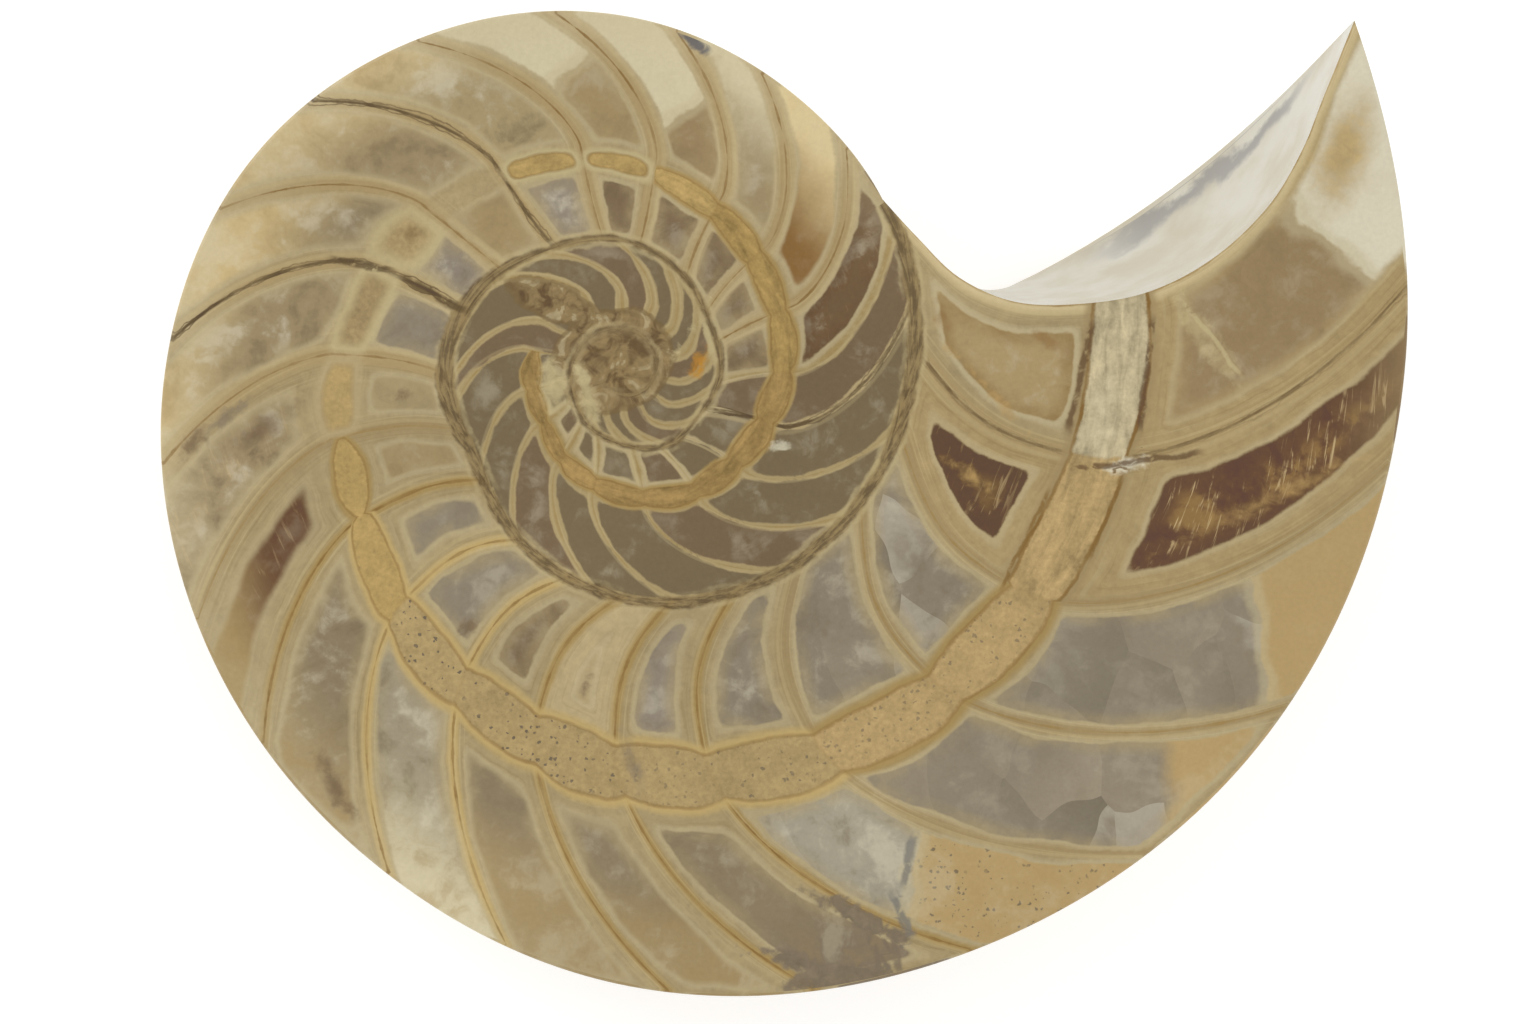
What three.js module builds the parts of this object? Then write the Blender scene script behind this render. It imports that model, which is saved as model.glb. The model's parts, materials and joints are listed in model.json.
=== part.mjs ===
// Fossil nautilus shell half: a coiled, chambered shell turned to stone, sawn in two along its plane
// of symmetry and polished. It is one solid with a flat cut face, the rounded outside of one flank
// with its umbilicus, and the hollow of the last septum at the mouth.
// Millimetres, +Z up. The half lies on its flank with the cut face up. It is drawn first about its own
// coil axis, with the cut face in the XY plane and the flank below it, and is then leant over as it rests.
import * as THREE from "three";
import { mergeVertices } from "three/addons/utils/BufferGeometryUtils.js";

// Coil. Angles are degrees of growth round the coil axis, anticlockwise seen on the cut face.
// They run on from turn to turn: 360 to 720 is the last whole turn, and the mouth is just past 720.
const COIL_RADIUS = 72; // coil axis to the outer edge at 720 degrees, on the even spiral
const TURN_GROWTH = 2.845; // how many times larger the coil gets in one turn
const EDGE_STEP = 30; // degrees between the values of EDGE_TRUENESS
const EDGE_FIRST = 360; // degrees of its first value
// How far the real outer edge lies from the even spiral, as a share of its radius.
const EDGE_TRUENESS = [
  1.033, 1.022, 0.991, 0.99, 0.993, 1.003, 0.987, 0.976, 0.987, 1.018, 1.024, 1.027, 0.995, 0.954,
];

// Flank, the rounded outside, as shares of the outer edge's radius at the same angle.
const HALF_BREADTH = 0.4; // cut face to the flank's lowest line
const CREST_REACH = 0.46; // coil axis to that line
const EDGE_SQUARENESS = 2.3; // superellipse powers of the arch from the outer edge to the crest
const FLANK_FLATNESS = 2.1;
const UMBILICUS_DEPTH = 8.5; // cut face to the bottom of the umbilicus, in millimetres
const UMBILICUS_TIGHTNESS = 2.4; // a higher power keeps the umbilicus narrower

// Mouth. Both lines start at the coil axis and swing forward with their reach along the flank.
const MOUTH_ANGLE = 720; // the last septum's rim at the coil axis
const RIM_SWING = 25.6; // from there to its tip at the outer edge
const ROOT_SWING = 33.5; // the line where the last chamber thins out on the turn before it, one turn back
// The last septum's edge on the cut face, between the tip and the root, from the coil axis.
const SEPTUM_EDGE = [
  [64.4, 25.3],
  [62.5, 20.4],
  [59.3, 15.1],
  [54.2, 10.3],
  [48.2, 7.2],
  [41.8, 6.1],
  [35.9, 6.3],
  [30.8, 8.5],
  [26.9, 12.2],
];
const ROOT_SHARE = 0.62; // share of the rim, from the tip, that faces the septum's edge and not the root line
const CUP_BEND = 65; // degrees that the hollow turns forward on its way down from the cut face

// Rest. The half leans over until its flank carries it.
const LEAN = 9.5; // degrees between the cut face and level
const LEAN_TOWARDS = 215; // heading of the cut face's lowest side, in degrees from +X

// Faceting.
const COLUMNS = 96; // steps round the flank
const ARCH_ROWS = 14; // steps from the outer edge to the crest
const UMBILICUS_ROWS = 9; // steps from the crest to the coil axis
const SEPTUM_EDGE_STEPS = 30;
const CUP_STEPS = 40; // steps along the hollow, from the tip to the coil axis
const CUP_ROWS = 9; // steps across it, from the septum's edge to the rim

const STONE = new THREE.MeshStandardMaterial({ color: 0xa8946c, roughness: 0.35, metalness: 0 });

const { lerp, clamp, degToRad } = THREE.MathUtils;

// A smooth curve through evenly spaced values, at a position counted in steps.
function throughValues(values, position) {
  const at = (i) => values[clamp(i, 0, values.length - 1)];
  const i = clamp(Math.floor(position), 0, values.length - 2);
  const u = position - i;
  const [a, b, c, d] = [at(i - 1), at(i), at(i + 1), at(i + 2)];
  return b + 0.5 * u * (c - a + u * (2 * a - 5 * b + 4 * c - d + u * (3 * (b - c) + d - a)));
}

// Radius of the outer edge: a spiral that grows by TURN_GROWTH each turn, times its trueness.
function edgeRadius(angle) {
  const even = COIL_RADIUS * TURN_GROWTH ** ((angle - MOUTH_ANGLE) / 360);
  return even * throughValues(EDGE_TRUENESS, (angle - EDGE_FIRST) / EDGE_STEP);
}

// Depth of the flank below the cut face. The reach is 1 at the outer edge and 0 at the coil axis.
function flankDepth(angle, reach) {
  const crest = HALF_BREADTH * edgeRadius(angle);
  if (reach >= CREST_REACH) {
    const outward = (reach - CREST_REACH) / (1 - CREST_REACH);
    return crest * Math.max(0, 1 - outward ** EDGE_SQUARENESS) ** (1 / FLANK_FLATNESS);
  }
  const inward = 1 - reach / CREST_REACH;
  const drop = Math.cos((Math.PI / 2) * inward ** UMBILICUS_TIGHTNESS) ** 2;
  return lerp(UMBILICUS_DEPTH, crest, drop);
}

function flankPoint(angle, reach) {
  const radius = reach * edgeRadius(angle);
  const turn = degToRad(angle);
  return new THREE.Vector3(radius * Math.cos(turn), radius * Math.sin(turn), -flankDepth(angle, reach));
}

const rimPoint = (reach) => flankPoint(MOUTH_ANGLE + RIM_SWING * reach, reach);
const rootPoint = (reach) => flankPoint(MOUTH_ANGLE - 360 + ROOT_SWING * reach, reach);

// Reaches of the flank's rows, close together where it turns most.
function rowReaches() {
  const arch = Array.from({ length: ARCH_ROWS }, (_, i) => {
    const outward = Math.cos(((Math.PI / 2) * i) / ARCH_ROWS) ** (2 / EDGE_SQUARENESS);
    return lerp(CREST_REACH, 1, outward);
  });
  const umbilicus = Array.from({ length: UMBILICUS_ROWS + 1 }, (_, i) => CREST_REACH * (1 - i / UMBILICUS_ROWS));
  return [...arch, ...umbilicus];
}

// The septum's edge from the tip to the root, as a curve in the cut face.
const septumEdge = new THREE.CatmullRomCurve3(
  [rimPoint(1), ...SEPTUM_EDGE.map(([x, y]) => new THREE.Vector3(x, y, 0)), rootPoint(1)],
  false,
  "centripetal",
);

// The hollow's two long sides, from the tip to the coil axis. One follows the septum's edge and
// then the root line, and the other follows the rim.
function innerSide(share) {
  if (share <= ROOT_SHARE) return septumEdge.getPoint(share / ROOT_SHARE);
  return rootPoint((1 - share) / (1 - ROOT_SHARE));
}
const outerSide = (share) => rimPoint(1 - share);

// The hollow drops square from the cut face and bends forward to the rim, as part of an ellipse.
function cupPoint(share, across) {
  const [from, to] = [innerSide(share), outerSide(share)];
  const bend = degToRad(CUP_BEND);
  const forward = (1 - Math.cos(bend * across)) / (1 - Math.cos(bend));
  const down = Math.sin(bend * across) / Math.sin(bend);
  return new THREE.Vector3(lerp(from.x, to.x, forward), lerp(from.y, to.y, forward), lerp(from.z, to.z, down));
}

// Fills the strip between two lines of { share, point }, taking the nearer next point each time.
function stitch(triangles, left, right) {
  let [i, j] = [0, 0];
  while (i < left.length - 1 || j < right.length - 1) {
    const leftNext = i < left.length - 1 ? left[i + 1].share : Infinity;
    const rightNext = j < right.length - 1 ? right[j + 1].share : Infinity;
    if (leftNext <= rightNext) {
      triangles.push([left[i].point, right[j].point, left[i + 1].point]);
      i += 1;
    } else {
      triangles.push([left[i].point, right[j].point, right[j + 1].point]);
      j += 1;
    }
  }
}

function addFlank(triangles, reaches) {
  const column = (i) =>
    reaches.map((reach) => {
      const start = MOUTH_ANGLE - 360 + ROOT_SWING * reach;
      const end = MOUTH_ANGLE + RIM_SWING * reach;
      return { share: 1 - reach, point: flankPoint(lerp(start, end, i / COLUMNS), reach) };
    });
  for (let i = 0; i < COLUMNS; i += 1) stitch(triangles, column(i + 1), column(i));
}

function addCup(triangles, reaches) {
  const shares = Array.from({ length: CUP_STEPS + 1 }, (_, i) => i / CUP_STEPS);
  const line = (list, pointAt) => list.map((share) => ({ share, point: pointAt(share) }));
  const edgeShares = Array.from({ length: SEPTUM_EDGE_STEPS }, (_, i) => (ROOT_SHARE * i) / SEPTUM_EDGE_STEPS);
  const rootShares = reaches.map((reach) => 1 - (1 - ROOT_SHARE) * reach);
  const rows = Array.from({ length: CUP_ROWS - 1 }, (_, k) =>
    line(shares, (share) => cupPoint(share, (k + 1) / CUP_ROWS)),
  );
  const inner = line([...edgeShares, ...rootShares], innerSide);
  const outer = line(reaches.map((reach) => 1 - reach), outerSide);
  const lines = [inner, ...rows, outer];
  for (let k = 0; k < CUP_ROWS; k += 1) stitch(triangles, lines[k], lines[k + 1]);
}

function addCutFace(triangles) {
  const start = MOUTH_ANGLE - 360 + ROOT_SWING;
  const end = MOUTH_ANGLE + RIM_SWING;
  const edge = Array.from({ length: COLUMNS + 1 }, (_, i) => flankPoint(lerp(start, end, i / COLUMNS), 1));
  const septum = Array.from({ length: SEPTUM_EDGE_STEPS - 1 }, (_, i) =>
    septumEdge.getPoint((i + 1) / SEPTUM_EDGE_STEPS),
  );
  const outline = [...edge, ...septum];
  for (const face of THREE.ShapeUtils.triangulateShape(outline, [])) triangles.push(face.map((i) => outline[i]));
}

// One closed surface from loose triangles, with shared corners merged and collapsed triangles left out.
function closedSurface(triangles) {
  const positions = new Float32Array(triangles.flat().flatMap((p) => p.toArray()));
  const loose = new THREE.BufferGeometry();
  loose.setAttribute("position", new THREE.BufferAttribute(positions, 3));
  const merged = mergeVertices(loose, 1e-3);
  const index = [...merged.index.array];
  const kept = [];
  for (let i = 0; i < index.length; i += 3) {
    const corners = index.slice(i, i + 3);
    if (new Set(corners).size === 3) kept.push(...corners);
  }
  merged.setIndex(kept);
  merged.computeVertexNormals();
  return merged;
}

function nautilusHalf() {
  const triangles = [];
  const reaches = rowReaches();
  addFlank(triangles, reaches);
  addCup(triangles, reaches);
  addCutFace(triangles);
  const half = new THREE.Mesh(closedSurface(triangles), STONE);
  half.name = "nautilus_half";
  return half;
}

// Leans the half over as it rests, and sets it on the ground with the origin below its middle.
function atRest(half) {
  const heading = degToRad(LEAN_TOWARDS);
  const hinge = new THREE.Vector3(-Math.sin(heading), Math.cos(heading), 0);
  half.quaternion.setFromAxisAngle(hinge, degToRad(LEAN));
  half.updateMatrixWorld(true);
  const box = new THREE.Box3().setFromObject(half, true);
  const middle = box.getCenter(new THREE.Vector3());
  half.position.set(-middle.x, -middle.y, -box.min.z);
  return half;
}

const fossil = new THREE.Group();
fossil.add(atRest(nautilusHalf()));

export default fossil;
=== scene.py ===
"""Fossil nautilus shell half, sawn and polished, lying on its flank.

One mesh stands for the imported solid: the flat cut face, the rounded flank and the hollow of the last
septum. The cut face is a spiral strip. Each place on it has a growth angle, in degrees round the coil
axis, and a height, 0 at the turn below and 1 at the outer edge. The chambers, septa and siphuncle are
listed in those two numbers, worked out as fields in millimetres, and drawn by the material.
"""

from __future__ import annotations

import json
import logging
import math
from collections.abc import Sequence
from dataclasses import dataclass, field, fields, replace
from enum import Enum
from typing import Any

import bpy
import numpy as np
from mathutils import Matrix, Vector


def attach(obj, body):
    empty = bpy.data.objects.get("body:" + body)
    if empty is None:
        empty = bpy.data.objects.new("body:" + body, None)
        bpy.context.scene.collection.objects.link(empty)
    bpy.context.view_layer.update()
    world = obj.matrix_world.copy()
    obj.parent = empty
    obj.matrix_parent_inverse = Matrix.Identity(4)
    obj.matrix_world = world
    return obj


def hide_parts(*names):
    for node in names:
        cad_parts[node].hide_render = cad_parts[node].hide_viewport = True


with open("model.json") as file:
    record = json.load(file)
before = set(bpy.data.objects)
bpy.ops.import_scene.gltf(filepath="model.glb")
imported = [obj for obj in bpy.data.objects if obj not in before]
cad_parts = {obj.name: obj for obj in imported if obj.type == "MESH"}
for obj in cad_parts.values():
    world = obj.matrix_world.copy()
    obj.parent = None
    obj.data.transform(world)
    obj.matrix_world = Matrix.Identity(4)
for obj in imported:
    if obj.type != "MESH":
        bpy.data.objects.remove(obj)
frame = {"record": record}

LOG = logging.getLogger("nautilus_half")
NODE = "nautilus_half"
MM = 0.001
FAR = 9.0  # millimetres, farther than any line or patch reaches
Array = np.ndarray


class Tint(Enum):
    """Colours of the stone as the eye sees them, as sRGB hex values."""

    SMOKE = "#8F8471"
    PEARL = "#A59D89"
    HAZE = "#A1967D"
    LAVENDER = "#928778"
    ASH = "#8D7E64"
    DOVE = "#9C8A69"
    OLIVE = "#998360"
    FAWN = "#AC966C"
    UMBER = "#674F39"
    CHESTNUT = "#6F533E"
    RUST = "#6C503A"
    RUSSET = "#8B6A40"
    COCOA = "#755E44"
    AMBER = "#B0915E"
    HONEY = "#B39862"
    GOLD = "#C8B07E"
    CREAM = "#B9A67E"
    WHITE = "#D9D1B8"
    SAND = "#B69C6D"
    GRIT = "#AE976A"
    BEIGE = "#A89670"
    TAN = "#A28D66"
    OCHRE = "#A68B57"
    STRAW = "#C1A76F"
    BRASS = "#9E8353"
    BRONZE = "#87693C"
    BARK = "#7A6544"
    CRACK = "#5F4E37"
    DUSK = "#7B6850"
    MOSS = "#7B6C52"
    RIB = "#A28B5D"
    SLATE = "#857762"
    CRYSTAL = "#BFB18E"
    LIP = "#D2BF94"
    IVORY = "#C0B085"
    MILK = "#D1C6A4"
    BUTTER = "#DFCA98"
    ORANGE = "#B9842F"
    INK = "#5B5B62"
    LEAD = "#7D7A72"
    FLINT = "#7E715E"


def linear(tint: Tint | str) -> tuple[float, float, float]:
    """Turns an sRGB hex colour to linear light.

    Args:
        tint: a named tint, or a hex colour.
    Returns:
        Red, green and blue from 0 to 1.
    """
    code = tint.value if isinstance(tint, Tint) else tint
    parts = (int(code[i : i + 2], 16) / 255 for i in (1, 3, 5))
    return tuple(c / 12.92 if c <= 0.04045 else ((c + 0.055) / 1.055) ** 2.4 for c in parts)


def table(items: Sequence[Any]) -> dict[str, Array]:
    """The fields of some like items, each as an array with a row for every item.

    Args:
        items: instances of one dataclass.
    Returns:
        Arrays by field name, with tints as linear colours.
    """
    rows = {column.name: [getattr(item, column.name) for item in items] for column in fields(items[0])}
    return {
        name: np.array([linear(value) if isinstance(value, Tint) else value for value in row])
        for name, row in rows.items()
    }


def through(values: Array, position: Array) -> Array:
    """A smooth curve through evenly spaced values: a cubic on each step, with slopes from its neighbours.

    Args:
        values: numbers, or rows of numbers.
        position: places on the curve, counted in steps.
    Returns:
        The curve's values there.
    """
    last = len(values) - 1
    i = np.clip(np.floor(position).astype(int), 0, last - 1)
    u = np.clip(position, 0, last) - i
    u = u.reshape(u.shape + (1,) * (values.ndim - 1))
    a, b, c, d = (values[np.clip(i + k, 0, last)] for k in (-1, 0, 1, 2))
    return b + 0.5 * u * (c - a + u * (2 * a - 5 * b + 4 * c - d + u * (3 * (b - c) + d - a)))


@dataclass(frozen=True)
class Coil:
    """The spiral that the shell grew along. Lengths are in millimetres and angles in degrees."""

    radius: float = 72.0  # coil axis to the outer edge at the mouth angle, on the even spiral
    turn_growth: float = 2.845  # how many times larger the coil gets in one turn
    mouth_angle: float = 720.0
    trueness_first: float = -180.0
    trueness_step: float = 30.0
    # How far the outer edge lies from the even spiral, as a share of its radius.
    trueness: tuple[float, ...] = (
        0.926, 0.911, 0.965, 0.996, 1.055, 0.979, 0.987, 0.923, 0.972, 1.022, 1.022,
        1.077, 1.065, 0.955, 1.022, 1.064, 1.071, 1.056, 1.033, 1.022, 0.991, 0.99,
        0.993, 1.003, 0.987, 0.976, 0.987, 1.018, 1.024, 1.027, 0.995, 0.954,
    )

    def even_radius(self, angle: Array) -> Array:
        """Radius of the even spiral, which grows by the same factor each turn."""
        return self.radius * self.turn_growth ** ((angle - self.mouth_angle) / 360)

    def edge_radius(self, angle: Array) -> Array:
        """Radius of the outer edge: the even spiral times a smooth curve through the trueness values."""
        position = (angle - self.trueness_first) / self.trueness_step
        return self.even_radius(angle) * through(np.asarray(self.trueness), position)

    def whorl_height(self, angle: Array) -> Array:
        """Distance from the turn below to the outer edge, in millimetres."""
        return self.edge_radius(angle) - self.edge_radius(angle - 360)

    def edge_points(self, angle: Array) -> Array:
        """The outer edge on the cut face, as x and y."""
        turn = np.radians(angle)
        return self.edge_radius(angle)[..., None] * np.stack([np.cos(turn), np.sin(turn)], axis=-1)


@dataclass(frozen=True)
class Mouth:
    """The last septum: its edge on the cut face, and how its rim and root swing forward on the flank."""

    rim_swing: float = 25.6  # degrees from the coil axis to the tip
    root_swing: float = 33.5  # degrees from the coil axis to where the edge leaves the turn below
    curve_points: int = 400
    # The edge on the cut face, from the root to the tip, in millimetres from the coil axis.
    edge: tuple[tuple[float, float], ...] = (
        (26.9, 12.2), (30.8, 8.5), (35.9, 6.3), (41.8, 6.1), (48.2, 7.2),
        (54.2, 10.3), (59.3, 15.1), (62.5, 20.4), (64.4, 25.3),
    )

    def angles(self, coil: Coil, height: Array) -> Array:
        """Growth angle of the edge at each height, read off a smooth curve through its points.

        Args:
            coil: the spiral.
            height: heights from 0 to 1.
        Returns:
            Angles in degrees.
        """
        root = coil.edge_points(np.array([coil.mouth_angle - 360 + self.root_swing]))
        tip = coil.edge_points(np.array([coil.mouth_angle + self.rim_swing]))
        line = np.concatenate([root, np.array(self.edge), tip])
        curve = through(line, np.linspace(0, len(line) - 1, self.curve_points))
        angle = coil.mouth_angle + np.degrees(np.arctan2(curve[:, 1], curve[:, 0]))
        below = coil.edge_radius(angle - 360)
        curve_height = (np.hypot(*curve.T) - below) / (coil.edge_radius(angle) - below)
        return np.interp(height, curve_height, angle)


@dataclass(frozen=True)
class Line:
    """How a septum is drawn: a thin line in the middle of a band. Widths are in millimetres."""

    line_width: float
    line: Tint
    band_width: float
    band: Tint
    crack: float = 0.0  # strength of the dark strands along it


class Seam(Enum):
    """The kinds of septum that the cut face shows."""

    FINE = Line(0.12, Tint.BRASS, 0.9, Tint.TAN)
    FAINT = Line(0.14, Tint.TAN, 0.9, Tint.TAN)
    BROAD = Line(0.12, Tint.BRONZE, 1.3, Tint.FAWN)
    OCHRE = Line(0.14, Tint.BRONZE, 0.7, Tint.OCHRE)
    STRAW = Line(0.14, Tint.BRONZE, 0.75, Tint.STRAW)
    CRACK = Line(0.2, Tint.CRACK, 1.1, Tint.FAWN, 1.0)
    MENDED = Line(0.17, Tint.BARK, 1.3, Tint.FAWN, 0.4)
    RIB = Line(0.1, Tint.RIB, 0.6, Tint.RIB)
    LIP = Line(0.2, Tint.BRASS, 1.3, Tint.LIP)


@dataclass(frozen=True)
class Septum:
    """One wall between chambers: its angle at the siphuncle, and how it leans on either side of it."""

    angle: float
    ventral_lean: float  # degrees forward at the outer edge
    dorsal_lean: float  # degrees forward at the turn below
    seam: Seam = Seam.FINE
    ventral_power: float = 1.35
    dorsal_power: float = 3.5


@dataclass
class Fill:
    """What fills one half of a chamber. The lining is the banded crust round the core, in millimetres."""

    core: Tint
    lining: tuple[float, float, float, float]  # at the front septum, back septum, siphuncle and wall
    crust: Tint = Tint.BEIGE
    edge: Tint | None = None  # the core's own border, where it differs from the crust
    beyond: Tint | None = None  # what lies past the split, towards the outer edge
    split: float = 3.0  # height of the split, in the middle of the chamber
    split_slope: float = 0.0  # change of that height from the back septum to the front one
    split_blur: float = 0.3  # millimetres
    soft: float = 0.25  # blur of the core's outline, in millimetres
    pale: float = 0.4  # strength of the pale line round the core
    facets: float = 0.0
    clouds: float = 0.4
    streaks: float = 0.0
    specks: float = 0.0  # dark grains past the split

    def __post_init__(self) -> None:
        """Takes the crust for the border, and the core for what lies past the split, where none is given."""
        self.edge = self.edge or self.crust
        self.beyond = self.beyond or self.core


@dataclass(frozen=True)
class Bead:
    """The siphuncle's stretch in one chamber: the heights of its two sides, and its pinch at the septa."""

    low: float
    high: float
    pinch: float = 0.25
    tint: Tint = Tint.GRIT
    halo: Tint = Tint.OCHRE
    specks: float = 0.0
    sparkle: float = 0.0
    fade: float = 0.0  # how far it melts into the crust
    skin: float = 0.5  # strength of its brown outline
    blur: float = 0.24  # millimetres
    gap: float = 0.0  # millimetres from its end to the septum, where it is closed


@dataclass(frozen=True)
class Chamber:
    """One chamber, with the septum that closes it towards the mouth."""

    front: Septum
    venter: Fill
    dorsum: Fill
    bead: Bead


OPEN = -4.0  # a lining this thin lets the core run out to the edge
INNER_LINING = (0.4, 0.4, 0.45, 0.35)
BEADLESS_BELOW = 185.0  # growth angle, in degrees, up to which the siphuncle is lost

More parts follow.
